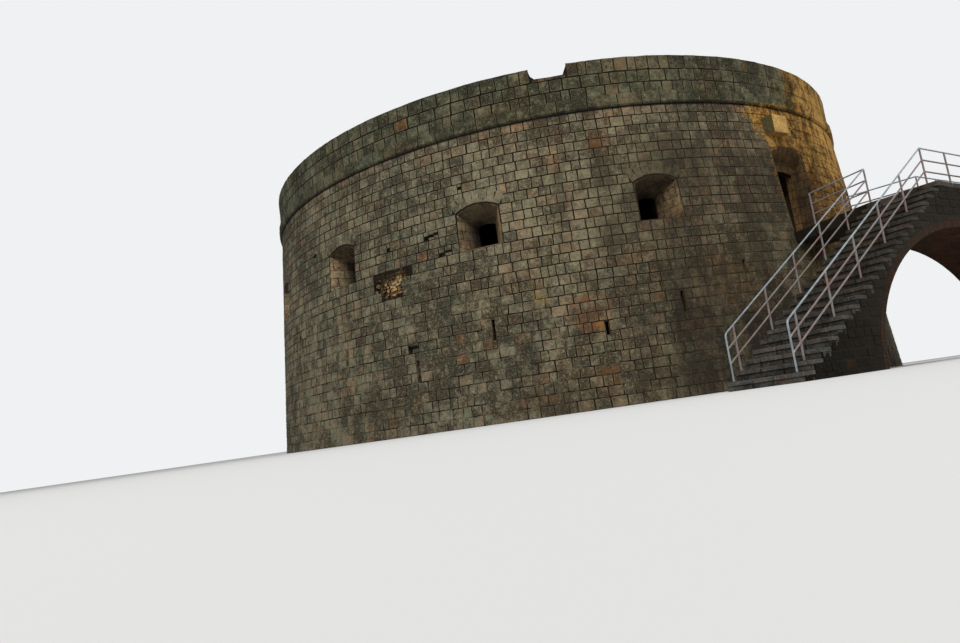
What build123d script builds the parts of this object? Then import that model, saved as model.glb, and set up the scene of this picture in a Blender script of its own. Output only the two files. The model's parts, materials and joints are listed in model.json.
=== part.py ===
from build123d import *
import math
import os

# A round battered gun tower of ashlar, with a parapet above a string course,
# a ring of arched embrasures, and a door high in the wall that a straight
# stair on a low arch reaches over a short bridge.
# The origin is on the tower's axis at ground level, and the door faces -Y.
# An azimuth is counted from the door, in degrees, positive towards +X.

# Tower wall
string_height = 9140
wall_top_radius = 12460
wall_batter = 0.0785
upper_wall_thickness = 2460
lower_wall_ledge = 400

# Bays: those beside the door are measured, the others share what is left
bay_count = 14
measured_bays = 4
measured_pitch = 25.2

# Embrasures, from the mouth through the throat to the room
embrasure_width = 1400
embrasure_sill = 5360
embrasure_springing = 6610
embrasure_rise = 200
throat_depth = 1000
throat_width = 580
throat_sill = 5650
throat_springing = 6290
throat_rise = 60
embrasure_inner_width = 1500
embrasure_inner_sill = 5250
embrasure_inner_springing = 6700
embrasure_inner_rise = 220

# Wedge stones in the arch of each opening, every one with a flat soffit
voussoir_count = 7

# Loopholes: one under each embrasure and one low between two bays
loophole_width = 100
loophole_sill = 2460
loophole_height = 630
low_loophole_sill = 1800
low_loophole_height = 550
left_low_azimuth = -61.75
left_low_sill = 1620
left_low_height = 650
middle_low_azimuth = -35.45
middle_low_sill = 2090
middle_low_height = 390
right_low_azimuth = -14.8
right_low_sill = 3410
right_low_height = 440
door_low_azimuth = -9.65
door_low_sill = 3130
door_low_height = 270
loophole_inner_width = 620
loophole_inner_drop = 250
loophole_offset = 0.3

# Entrance
floor_level = 4670
recess_width = 1720
recess_depth = 400
recess_springing = 7620
recess_rise = 120
recess_back_springing = 7120
recess_back_rise = 210
doorway_width = 1200
doorway_springing = 6900
doorway_rise = 110
doorway_reveal = 240
passage_width = 1700

# Tablet over the door, and the small niche beside it
tablet_width = 780
tablet_height = 620
tablet_drop = 430
tablet_offset = -480
tablet_projection = 280
tablet_bearing = 250
tablet_chamfer = 25
niche_azimuth = 3.1
niche_width = 120
niche_lift = 50
niche_height = 280
niche_depth = 300

# String course, roof and parapet
cordon_height = 420
cordon_projection = 80
cordon_nose = 60
roof_bearing = 1000
parapet_face_inset = 20
parapet_height = 1240
parapet_thickness = 1300
quarter_count = 4

# Broken place in the parapet's top
notch_azimuth = -37.5
notch_width = 1250
notch_depth = 370
notch_shape = (
    (-0.5, 0),
    (-0.45, 0.65),
    (-0.36, 0.95),
    (0, 1),
    (0.36, 0.97),
    (0.5, 0),
)

# Missing facing stones
bare_patch_azimuth = -64.75
bare_patch_width = 1280
bare_patch_foot = 4460
bare_patch_height = 880
bare_patch_depth = 180
bare_patch_shape = (
    (-0.5, 0.11),
    (-0.18, 0),
    (0.4, 0.06),
    (0.5, 0.45),
    (0.36, 0.86),
    (0.15, 1),
    (-0.35, 0.92),
)

# Floors and the piers that carry them
ground_floor_thickness = 300
main_floor_thickness = 450
lower_pier_radius = 1300
upper_pier_radius = 1000
pier_cap_height = 350
pier_cap_spread = 350

# Stair
riser_count = 22
going = 356
stair_width = 1910
stair_gap = 2312
stair_top_nosing = -1570
tread_thickness = 100
tread_nosing = 20

# Arch that carries the upper flight and the landing
arch_centre = -750
arch_half_span = 5150
arch_height = 3400
arch_ring = 200
end_pier_length = 850
landing_slab_thickness = 150

# Bridge from the landing to the door
bridge_width = 3100
bridge_door_width = 1800
bridge_depth = 350
bridge_bearing = 350

# Railings of steel tube
rail_diameter = 42
post_diameter = 48
rail_heights = (955, 622, 299)
rail_edge_inset = 100
outer_rail_inset = 280
bridge_rail_inset = 50
bridge_rail_gap = 800
foot_post_inset = 150
first_post_from_foot = 322
post_pitch = 1408
rail_bend = 150

# Free play between a round piece and the wall around it
seat_gap = 0.3

# Share of the room's radius at which a void through the wall stops
room_end = 0.985

# Sizes that follow from those above
bay_azimuths = [-measured_pitch * k for k in range(measured_bays + 1)]
rest_pitch = (360 - measured_pitch * measured_bays) / (bay_count - measured_bays)
while len(bay_azimuths) < bay_count:
    bay_azimuths.append(bay_azimuths[-1] - rest_pitch)
upper_room_radius = wall_top_radius - upper_wall_thickness
lower_room_radius = upper_room_radius - lower_wall_ledge
main_floor_foot = floor_level - main_floor_thickness
wall_foot_radius = wall_top_radius + wall_batter * string_height
tablet_foot = string_height - tablet_drop - tablet_height
niche_sill = tablet_foot + niche_lift
stair_inner_face = wall_foot_radius + stair_gap
riser = floor_level / riser_count
stair_foot = stair_top_nosing - (riser_count - 1) * going
stair_outer_face = stair_inner_face + stair_width
arch_left = arch_centre - arch_half_span - arch_ring
arch_right = arch_centre + arch_half_span + arch_ring
landing_end = arch_right + end_pier_length
parapet_radius = wall_top_radius - parapet_face_inset
roof_radius = upper_room_radius + roof_bearing
parapet_foot = string_height + cordon_height
post_radius = post_diameter / 2
rail_radius = rail_diameter / 2


def face_radius(height):
    """Radius of the battered face at a height."""
    return wall_top_radius + wall_batter * (string_height - height)


def outward(azimuth):
    """Plane through the axis that faces outwards, its x to the right and y up."""
    a = math.radians(azimuth)
    return Plane(
        origin=(0, 0, 0),
        x_dir=(math.cos(a), math.sin(a), 0),
        z_dir=(math.sin(a), -math.cos(a), 0),
    )


def section_at(azimuth):
    """Plane of a radial cross-section, its x outwards and y up."""
    a = math.radians(azimuth)
    return Plane(
        origin=(0, 0, 0),
        x_dir=(math.sin(a), -math.cos(a), 0),
        z_dir=(-math.cos(a), -math.sin(a), 0),
    )


def ring_piece(profile, start, end):
    """Turn a cross-section of (radius, height) points from one azimuth to another."""
    with BuildPart() as piece:
        with BuildSketch(section_at(start)):
            with BuildLine():
                Polyline(*profile, close=True)
            make_face()
        revolve(axis=Axis.Z, revolution_arc=end - start)
    return piece.part


def arched_face(azimuth, distance, width, sill, springing, rise):
    """Outline of an arched opening on a plane across the radius."""
    half = width / 2
    radius = (half**2 + rise**2) / (2 * rise)
    opening_angle = math.asin(half / radius)
    centre = springing + rise - radius
    soffit = []
    for k in range(voussoir_count + 1):
        angle = opening_angle * (1 - 2 * k / voussoir_count)
        soffit.append((radius * math.sin(angle), centre + radius * math.cos(angle)))
    with BuildSketch(outward(azimuth).offset(distance)) as opening:
        with BuildLine():
            Polyline((-half, sill), (half, sill), *soffit, close=True)
        make_face()
    return opening.sketch


def arched_void(azimuth, *stations):
    """Void that runs straight from one arched outline to the next, outermost first."""
    with BuildPart() as void:
        loft(
            sections=[arched_face(azimuth, distance, *outline) for distance, outline in stations],
            ruled=True,
        )
    return void.part


def embrasure_void(azimuth):
    """Mouth, throat and room side of one embrasure."""
    face = face_radius((embrasure_sill + embrasure_springing) / 2)
    mouth = (embrasure_width, embrasure_sill, embrasure_springing, embrasure_rise)
    throat = (throat_width, throat_sill, throat_springing, throat_rise)
    room = (
        embrasure_inner_width,
        embrasure_inner_sill,
        embrasure_inner_springing,
        embrasure_inner_rise,
    )
    return arched_void(
        azimuth,
        (wall_foot_radius, mouth),
        (face, mouth),
        (face - throat_depth, throat),
        (upper_room_radius * room_end, room),
    )


def slot_outline(width, sill, height):
    """Corners of a narrow slot."""
    return [(-width / 2, sill), (width / 2, sill), (width / 2, sill + height), (-width / 2, sill + height)]


def loophole_void(azimuth, sill, height, room_radius):
    """Slot that is narrow at the face and splays out to the room."""
    face = face_radius(sill + height / 2)
    inner_sill = sill - loophole_inner_drop
    inner_height = height + 2 * loophole_inner_drop
    with BuildPart() as void:
        with BuildSketch(outward(azimuth).offset(face - loophole_width)) as mouth:
            with BuildLine():
                Polyline(*slot_outline(loophole_width, sill, height), close=True)
            make_face()
        extrude(amount=wall_foot_radius - face + loophole_width)
        with BuildSketch(outward(azimuth).offset(room_radius * room_end)) as inside:
            with BuildLine():
                Polyline(*slot_outline(loophole_inner_width, inner_sill, inner_height), close=True)
            make_face()
        loft(sections=[mouth.sketch, inside.sketch])
    return void.part


def bare_patch_void():
    """Shallow pocket where the facing stones have fallen out."""
    top = bare_patch_foot + bare_patch_height
    outline = [
        (across * bare_patch_width, bare_patch_foot + up * bare_patch_height)
        for across, up in bare_patch_shape
    ]
    with BuildPart() as void:
        with BuildSketch(outward(bare_patch_azimuth).offset(face_radius(top) - bare_patch_depth)):
            with BuildLine():
                Polyline(*outline, close=True)
            make_face()
        extrude(amount=wall_foot_radius)
    return void.part


def bay_edges(index):
    """Azimuths midway to the next bay on each side."""
    before = bay_azimuths[index - 1] if index > 0 else bay_azimuths[-1] + 360
    after = bay_azimuths[index + 1] if index + 1 < bay_count else bay_azimuths[0] - 360
    low = (bay_azimuths[index] + after) / 2
    high = (bay_azimuths[index] + before) / 2
    return low, high


wall_section = [
    (lower_room_radius, 0),
    (wall_foot_radius, 0),
    (wall_top_radius, string_height),
    (upper_room_radius, string_height),
    (upper_room_radius, main_floor_foot),
    (lower_room_radius, main_floor_foot),
]

# Loopholes low in the wall, where they were measured
low_loopholes = [
    (left_low_azimuth, left_low_sill, left_low_height),
    (middle_low_azimuth, middle_low_sill, middle_low_height),
    (right_low_azimuth, right_low_sill, right_low_height),
]

os.makedirs("parts", exist_ok=True)


# The thirteen wall bays beside the entrance
patch_reach = math.degrees(bare_patch_width / wall_top_radius)
for index in range(1, bay_count):
    bay_low, bay_high = bay_edges(index)
    middle = bay_azimuths[index]
    with BuildPart() as wall_bay:
        add(ring_piece(wall_section, bay_low, bay_high))
        add(embrasure_void(middle), mode=Mode.SUBTRACT)
        add(
            loophole_void(
                middle + loophole_offset, loophole_sill, loophole_height, lower_room_radius
            ),
            mode=Mode.SUBTRACT,
        )
        for azimuth, sill, height in low_loopholes:
            if bay_low < azimuth < bay_high:
                add(loophole_void(azimuth, sill, height, lower_room_radius), mode=Mode.SUBTRACT)
        if index >= measured_bays:
            add(
                loophole_void(
                    middle + rest_pitch / 3, low_loophole_sill, low_loophole_height, lower_room_radius
                ),
                mode=Mode.SUBTRACT,
            )
        if bay_low - patch_reach < bare_patch_azimuth < bay_high + patch_reach:
            add(bare_patch_void(), mode=Mode.SUBTRACT)
    wall_bay.part.label = f"wall_bay_{index + 1:02d}"
    export_step(wall_bay.part, f"parts/{wall_bay.part.label}.step")

# Entrance bay: base, a pier on each side of the doorway, and the head over it
door_low = bay_edges(0)[0]
door_high = bay_edges(0)[1]
door_face = face_radius(floor_level)
recess_mouth = (recess_width, floor_level, recess_springing, recess_rise)
recess_back = (recess_width, floor_level, recess_back_springing, recess_back_rise)
doorway = (doorway_width, floor_level, doorway_springing, doorway_rise)
passage = (passage_width, floor_level, doorway_springing, recess_back_rise)
recess_face = face_radius(recess_springing)
recess_end = recess_face - recess_depth
reveal_end = recess_end - doorway_reveal
with BuildPart() as entrance_void:
    add(
        arched_void(
            0,
            (wall_foot_radius, recess_mouth),
            (recess_face, recess_mouth),
            (recess_end, recess_back),
        )
    )
    add(arched_void(0, (recess_end + recess_depth / 2, doorway), (reveal_end - recess_depth, doorway)))
    add(arched_void(0, (reveal_end, passage), (0, passage)))

bridge_half = bridge_width / 2
bridge_door_half = bridge_door_width / 2
bridge_spread = (bridge_half - bridge_door_half) / (stair_inner_face - door_face)
bridge_inner_end = door_face - bridge_bearing
bridge_outer_end = stair_inner_face + bridge_bearing
with BuildPart() as bridge_slab:
    with BuildSketch(Plane.XY.offset(floor_level - bridge_depth)):
        with BuildLine():
            Polyline(
                (-bridge_door_half, -bridge_inner_end),
                (bridge_door_half, -bridge_inner_end),
                (bridge_door_half, -door_face),
                (bridge_half, -stair_inner_face),
                (bridge_half, -bridge_outer_end),
                (-bridge_half, -bridge_outer_end),
                (-bridge_half, -stair_inner_face),
                (-bridge_door_half, -door_face),
                close=True,
            )
        make_face()
    extrude(amount=bridge_depth)
bridge_slab.part.label = "bridge_slab"
export_step(bridge_slab.part, "parts/bridge_slab.step")

base_section = [
    (lower_room_radius, 0),
    (wall_foot_radius, 0),
    (door_face, floor_level),
    (upper_room_radius, floor_level),
    (upper_room_radius, main_floor_foot),
    (lower_room_radius, main_floor_foot),
]
with BuildPart() as entrance_base:
    add(ring_piece(base_section, door_low, door_high))
    add(bridge_slab.part, mode=Mode.SUBTRACT)
    add(
        loophole_void(door_low_azimuth, door_low_sill, door_low_height, lower_room_radius),
        mode=Mode.SUBTRACT,
    )
entrance_base.part.label = "entrance_base"
export_step(entrance_base.part, "parts/entrance_base.step")

pier_section = [
    (upper_room_radius, floor_level),
    (door_face, floor_level),
    (face_radius(doorway_springing), doorway_springing),
    (upper_room_radius, doorway_springing),
]
for side, start, end in (("left", door_low, 0), ("right", 0, door_high)):
    with BuildPart() as entrance_pier:
        add(ring_piece(pier_section, start, end))
        add(entrance_void.part, mode=Mode.SUBTRACT)
    entrance_pier.part.label = f"entrance_{side}"
    export_step(entrance_pier.part, f"parts/entrance_{side}.step")

head_section = [
    (upper_room_radius, doorway_springing),
    (face_radius(doorway_springing), doorway_springing),
    (wall_top_radius, string_height),
    (upper_room_radius, string_height),
]
tablet_bed = face_radius(tablet_foot) - tablet_bearing
with BuildPart() as entrance_tablet:
    with BuildSketch(outward(0).offset(tablet_bed)):
        with Locations((tablet_offset, tablet_foot + tablet_height / 2)):
            Rectangle(tablet_width, tablet_height)
    extrude(amount=tablet_bearing + tablet_projection)
    chamfer(entrance_tablet.faces().sort_by(Axis.Y)[0].edges(), length=tablet_chamfer)
entrance_tablet.part.label = "entrance_tablet"
export_step(entrance_tablet.part, "parts/entrance_tablet.step")

with BuildPart() as entrance_head:
    add(ring_piece(head_section, door_low, door_high))
    add(entrance_void.part, mode=Mode.SUBTRACT)
    add(entrance_tablet.part, mode=Mode.SUBTRACT)
    with BuildSketch(outward(niche_azimuth).offset(face_radius(niche_sill) - niche_depth)):
        with Locations((0, niche_sill + niche_height / 2)):
            Rectangle(niche_width, niche_height)
    extrude(amount=2 * niche_depth, mode=Mode.SUBTRACT)
entrance_head.part.label = "entrance_head"
export_step(entrance_head.part, "parts/entrance_head.step")

# String course and parapet, each in four quarters
cordon_radius = wall_top_radius + cordon_projection
cordon_section = [
    (roof_radius + seat_gap, string_height),
    (cordon_radius - cordon_nose, string_height),
    (cordon_radius, string_height + cordon_nose),
    (cordon_radius, parapet_foot - cordon_nose / 2),
    (cordon_radius - cordon_nose / 2, parapet_foot),
    (roof_radius + seat_gap, parapet_foot),
]
parapet_top = parapet_foot + parapet_height
parapet_section = [
    (parapet_radius - parapet_thickness, parapet_foot),
    (parapet_radius, parapet_foot),
    (parapet_radius, parapet_top),
    (parapet_radius - parapet_thickness, parapet_top),
]
notch_outline = [
    (across * notch_width, parapet_top - down * notch_depth) for across, down in notch_shape
]
notch_outline.append((notch_width / 2, parapet_top + notch_depth))
notch_outline.append((-notch_width / 2, parapet_top + notch_depth))
with BuildPart() as notch_void:
    with BuildSketch(outward(notch_azimuth)):
        with BuildLine():
            Polyline(*notch_outline, close=True)
        make_face()
    extrude(amount=wall_foot_radius)

quarter = 360 / quarter_count
quarter_start = bay_edges(0)[0]
for number in range(quarter_count):
    start = quarter_start + quarter * number
    with BuildPart() as cordon_quarter:
        add(ring_piece(cordon_section, start, start + quarter))
    cordon_quarter.part.label = f"string_course_{number + 1}"
    export_step(cordon_quarter.part, f"parts/{cordon_quarter.part.label}.step")
    with BuildPart() as parapet_quarter:
        add(ring_piece(parapet_section, start, start + quarter))
        if start < notch_azimuth % 360 < start + quarter:
            add(notch_void.part, mode=Mode.SUBTRACT)
    parapet_quarter.part.label = f"parapet_{number + 1}"
    export_step(parapet_quarter.part, f"parts/{parapet_quarter.part.label}.step")

# Floors, roof and piers
with BuildPart() as ground_floor:
    with BuildSketch():
        Circle(lower_room_radius - seat_gap)
    extrude(amount=ground_floor_thickness)
ground_floor.part.label = "ground_floor"
export_step(ground_floor.part, "parts/ground_floor.step")

with BuildPart() as main_floor:
    with BuildSketch(Plane.XY.offset(main_floor_foot)):
        Circle(upper_room_radius - seat_gap)
    extrude(amount=main_floor_thickness)
main_floor.part.label = "main_floor"
export_step(main_floor.part, "parts/main_floor.step")

with BuildPart() as roof_terrace:
    with BuildSketch(Plane.XY.offset(string_height)):
        Circle(roof_radius)
    extrude(amount=cordon_height)
roof_terrace.part.label = "roof_terrace"
export_step(roof_terrace.part, "parts/roof_terrace.step")


def pier_outline(radius, foot, top):
    """Half section of a round pier with a cap that spreads under the floor above."""
    return [
        (0, foot),
        (radius, foot),
        (radius, top - pier_cap_height),
        (radius + pier_cap_spread, top),
        (0, top),
    ]


with BuildPart() as lower_pier:
    with BuildSketch(Plane.XZ):
        with BuildLine():
            Polyline(
                *pier_outline(lower_pier_radius, ground_floor_thickness, main_floor_foot),
                close=True,
            )
        make_face()
    revolve(axis=Axis.Z)
lower_pier.part.label = "lower_pier"
export_step(lower_pier.part, "parts/lower_pier.step")

with BuildPart() as upper_pier:
    with BuildSketch(Plane.XZ):
        with BuildLine():
            Polyline(*pier_outline(upper_pier_radius, floor_level, string_height), close=True)
        make_face()
    revolve(axis=Axis.Z)
upper_pier.part.label = "upper_pier"
export_step(upper_pier.part, "parts/upper_pier.step")

# Stair: the outline of its masonry, stepped under the treads
side_plane = Plane(origin=(0, -stair_inner_face, 0), x_dir=(1, 0, 0), z_dir=(0, -1, 0))


def stepped_outline():
    """Side view of the stair's masonry from its foot to the far end of the landing."""
    points = [(stair_foot, 0)]
    for step in range(1, riser_count):
        back = stair_foot + step * going
        bed = step * riser - tread_thickness
        points.append((back - going, bed))
        points.append((back, bed))
    landing_bed = floor_level - landing_slab_thickness
    points.append((stair_top_nosing, landing_bed))
    points.append((landing_end, landing_bed))
    points.append((landing_end, 0))
    return points


with BuildPart() as stair_body:
    with BuildSketch(side_plane):
        with BuildLine():
            Polyline(*stepped_outline(), close=True)
        make_face()
    extrude(amount=stair_width)
    add(bridge_slab.part, mode=Mode.SUBTRACT)

with BuildPart() as arch_core:
    with BuildSketch(side_plane):
        with Locations((arch_centre, 0)):
            Ellipse(arch_half_span + arch_ring, arch_height + arch_ring)
    extrude(amount=stair_width)

with BuildPart() as stair_arch:
    with BuildSketch(side_plane):
        with Locations((arch_centre, 0)):
            Ellipse(arch_half_span + arch_ring, arch_height + arch_ring)
            Ellipse(arch_half_span, arch_height, mode=Mode.SUBTRACT)
    extrude(amount=stair_width)
    add(stair_body.part, mode=Mode.INTERSECT)
stair_arch.part.label = "stair_arch"
export_step(stair_arch.part, "parts/stair_arch.step")


def stair_slice(left, right):
    """The stair's masonry between two places along it, less the arch."""
    with BuildPart() as piece:
        with BuildSketch(side_plane):
            with BuildLine():
                Polyline((left, 0), (right, 0), (right, floor_level), (left, floor_level), close=True)
            make_face()
        extrude(amount=stair_width)
        add(stair_body.part, mode=Mode.INTERSECT)
        add(arch_core.part, mode=Mode.SUBTRACT)
    return piece.part


for name, left, right in (
    ("stair_base", stair_foot, arch_left),
    ("stair_spandrels", arch_left, arch_right),
    ("end_pier", arch_right, landing_end),
):
    with BuildPart() as masonry:
        add(stair_slice(left, right))
    masonry.part.label = name
    export_step(masonry.part, f"parts/{name}.step")

with BuildPart() as stair_treads:
    for step in range(1, riser_count):
        nosing = stair_foot + (step - 1) * going
        with BuildSketch(side_plane):
            with BuildLine():
                Polyline(
                    (nosing - tread_nosing, step * riser - tread_thickness),
                    (nosing + going, step * riser - tread_thickness),
                    (nosing + going, step * riser),
                    (nosing - tread_nosing, step * riser),
                    close=True,
                )
            make_face()
        extrude(amount=stair_width)
stair_treads.part.label = "stair_treads"
export_step(stair_treads.part, "parts/stair_treads.step")

with BuildPart() as landing_slab:
    with BuildSketch(side_plane):
        with BuildLine():
            Polyline(
                (stair_top_nosing - tread_nosing, floor_level - landing_slab_thickness),
                (landing_end, floor_level - landing_slab_thickness),
                (landing_end, floor_level),
                (stair_top_nosing - tread_nosing, floor_level),
                close=True,
            )
        make_face()
    extrude(amount=stair_width)
    add(bridge_slab.part, mode=Mode.SUBTRACT)
landing_slab.part.label = "landing_slab"
export_step(landing_slab.part, "parts/landing_slab.step")

# Railings
inner_rail_line = stair_inner_face + rail_edge_inset
bridge_rail_end = door_face + bridge_rail_gap
outer_rail_line = stair_outer_face - outer_rail_inset
foot_post = stair_foot + foot_post_inset
bridge_rail_line = bridge_half - bridge_rail_inset
bridge_rail_close = bridge_door_half + bridge_spread * bridge_rail_gap - bridge_rail_inset
slope = riser / going


def tread_level(place):
    """Height of the tread under a place along the stair."""
    step = math.floor((place - stair_foot) / going) + 1
    return min(step * riser, floor_level)


def nosing_level(place):
    """Height of the line through the nosings at a place along the stair."""
    return riser + (place - stair_foot) * slope


def clear_of_nosings(place):
    """Move a post along the stair until it stands on one tread alone."""
    nosing = stair_foot + math.floor((place - stair_foot) / going) * going
    margin = 2 * post_radius
    return min(max(place, nosing + margin), nosing + going - tread_nosing - margin)


def stair_railing(line, corner):
    """Sloping rails on posts, the top rail bent down to the first tread."""
    post_places = [corner]
    place = foot_post + first_post_from_foot
    while place < stair_top_nosing - post_pitch / 2:
        post_places.append(clear_of_nosings(place))
        place += post_pitch
    with BuildPart() as railing:
        for height in rail_heights:
            start = (foot_post, nosing_level(foot_post) + height)
            end = (corner, nosing_level(corner) + height)
            with BuildLine(Plane.XZ) as path:
                if height == rail_heights[0]:
                    FilletPolyline((foot_post, tread_level(foot_post)), start, end, radius=rail_bend)
                else:
                    Line(start, end)
            for run in path.edges():
                with BuildSketch(Plane(origin=run @ 0, z_dir=run % 0)):
                    Circle(rail_radius)
                sweep(path=run)
        for place in post_places:
            top = nosing_level(place) + rail_heights[0]
            foot = tread_level(place)
            with BuildSketch(Plane(origin=(place, 0, foot))):
                Circle(post_radius)
            extrude(amount=top - foot)
    return Pos(0, -line, 0) * railing.part


def level_railing(corner, end):
    """Level rails on posts, from clear of another railing's corner post to a post at the end."""
    start = Vector(*corner) + (Vector(*end) - Vector(*corner)).normalized() * rail_joint
    run = Vector(*end) - start
    bays = max(1, round(run.length / post_pitch))
    with BuildPart() as railing:
        for height in rail_heights:
            with BuildSketch(Plane(origin=(start.X, start.Y, level_line + height), z_dir=run)):
                Circle(rail_radius)
            extrude(amount=run.length)
        for k in range(1, bays + 1):
            place = start + run * (k / bays)
            with BuildSketch(Plane(origin=(place.X, place.Y, floor_level))):
                Circle(post_radius)
            extrude(amount=level_line + rail_heights[0] - floor_level)
    return railing.part


landing_rail_end = landing_end - rail_edge_inset
level_line = nosing_level(-bridge_rail_line)
rail_joint = post_radius + seat_gap
railings = {
    "stair_railing_inner": stair_railing(inner_rail_line, -bridge_rail_line),
    "stair_railing_outer": stair_railing(outer_rail_line, -bridge_rail_line),
    "bridge_railing_left": level_railing(
        (-bridge_rail_line, -inner_rail_line), (-bridge_rail_close, -bridge_rail_end)
    ),
    "bridge_railing_right": level_railing(
        (bridge_rail_line, -inner_rail_line), (bridge_rail_close, -bridge_rail_end)
    ),
    "landing_railing_inner": level_railing(
        (landing_rail_end, -inner_rail_line), (bridge_rail_line, -inner_rail_line)
    ),
    "landing_railing_outer": level_railing(
        (-bridge_rail_line, -outer_rail_line), (landing_rail_end, -outer_rail_line)
    ),
    "landing_railing_end": level_railing(
        (landing_rail_end, -outer_rail_line), (landing_rail_end, -inner_rail_line)
    ),
}
for name, shape in railings.items():
    with BuildPart() as railing_panel:
        add(shape)
    railing_panel.part.label = name
    export_step(railing_panel.part, f"parts/{name}.step")
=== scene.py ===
"""Looks of a round stone gun tower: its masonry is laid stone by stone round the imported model."""

import json
import math
import random

import bmesh
import bpy
from bpy.props import FloatProperty, FloatVectorProperty, IntProperty, PointerProperty
from mathutils import Matrix, Vector

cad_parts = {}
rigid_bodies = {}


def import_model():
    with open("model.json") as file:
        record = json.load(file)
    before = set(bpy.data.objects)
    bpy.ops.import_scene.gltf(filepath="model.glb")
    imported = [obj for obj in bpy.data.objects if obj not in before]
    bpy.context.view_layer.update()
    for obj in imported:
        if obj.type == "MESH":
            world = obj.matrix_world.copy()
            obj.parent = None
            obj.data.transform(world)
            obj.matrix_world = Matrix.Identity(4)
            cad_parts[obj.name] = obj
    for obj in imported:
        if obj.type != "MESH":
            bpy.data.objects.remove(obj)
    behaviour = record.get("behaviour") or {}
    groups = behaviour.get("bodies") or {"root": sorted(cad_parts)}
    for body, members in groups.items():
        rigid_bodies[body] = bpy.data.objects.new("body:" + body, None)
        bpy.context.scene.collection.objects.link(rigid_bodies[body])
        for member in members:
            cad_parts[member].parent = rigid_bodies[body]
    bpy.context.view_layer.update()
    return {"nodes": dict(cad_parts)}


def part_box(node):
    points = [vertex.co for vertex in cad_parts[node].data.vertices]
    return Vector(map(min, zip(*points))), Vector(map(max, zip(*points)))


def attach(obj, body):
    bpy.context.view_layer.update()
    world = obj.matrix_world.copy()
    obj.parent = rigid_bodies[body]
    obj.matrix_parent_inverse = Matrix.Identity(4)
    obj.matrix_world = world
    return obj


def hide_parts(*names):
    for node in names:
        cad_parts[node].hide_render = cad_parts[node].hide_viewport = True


bl_info = {
    "name": "Round Gun Tower",
    "version": (1, 0, 0),
    "blender": (4, 5, 0),
    "location": "View3D > Sidebar > Fort",
    "description": "Lays the stones, finishes and stage of a round gun tower",
    "category": "Object",
}

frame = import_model()

FULL_TURN = 2 * math.pi
QUARTERS = (1, 2, 3, 4)
# How near to a face a point of the CAD mesh lies that is on it
ON_FACE = 0.004
# How much thinner than the relief the mortar is set back, so that no stone floats
BEDDED = 0.003
# Smallest stretch that gets a stone, and the slack with which courses meet openings
LEAST_STONE = 0.06
SLACK = 0.01


def length(name, description, value):
    """Length setting in metres."""
    return FloatProperty(name=name, description=description, default=value, unit="LENGTH")


def swatch(name, description, *value):
    """Linear colour setting."""
    return FloatVectorProperty(
        name=name, description=description, subtype="COLOR", size=4, min=0, max=1, default=(*value, 1)
    )


class FortTowerSizes(bpy.types.PropertyGroup):
    """Sizes of the tower that its stones follow."""

    string_height: length("String Height", "Underside of the string course", 9.14)
    top_radius: length("Top Radius", "Wall radius under the string course", 12.46)
    batter: FloatProperty(
        name="Batter", description="How far the wall leans in for each metre", default=0.0785
    )
    string_depth: length("String Depth", "Height of the string course", 0.42)
    string_radius: length("String Radius", "Radius of the string course", 12.54)
    parapet_radius: length("Parapet Radius", "Outer radius of the parapet", 12.44)
    parapet_height: length("Parapet Height", "Height above the string course", 1.24)
    parapet_thickness: length("Parapet Thickness", "From its outer to its inner face", 1.3)


class FortStoneSizes(bpy.types.PropertyGroup):
    """Sizes of the ashlar and of its weathering."""

    course_height: length("Course Height", "Mean height of a course", 0.313)
    stone_width: length("Stone Width", "Mean width of a stone", 0.35)
    joint: length("Joint", "Gap between two stones at the mortar", 0.009)
    relief: length("Relief", "How far the stones stand out of the mortar", 0.032)
    wobble: length("Wobble", "How far the joints wander from a straight line", 0.013)
    pitting: length("Pitting", "Unevenness of the stone faces", 0.012)
    seed: IntProperty(name="Seed", description="Start of the random draws", default=7)


class FortStairSizes(bpy.types.PropertyGroup):
    """Sizes of the stair, its arch and its landing."""

    riser_count: IntProperty(name="Risers", description="Number of risers", default=22)
    going: length("Going", "Depth of a step", 0.356)
    tread_thickness: length("Tread Thickness", "Thickness of a step's slab", 0.1)
    tread_nosing: length("Nosing", "How far a step's slab stands out", 0.02)
    arch_centre: length("Arch Centre", "Middle of the arch along the stair", -0.75)
    arch_half_span: length("Arch Half Span", "Half of the arch's clear span", 5.15)
    arch_height: length("Arch Height", "Clear height of the arch", 3.4)
    arch_ring: length("Arch Ring", "Thickness of the brick ring", 0.2)
    bridge_half: length("Bridge Half Width", "Half of the bridge's width at the door", 0.9)
    brick_pitch: length("Brick Pitch", "Distance between two bricks of the ring", 0.085)


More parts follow.
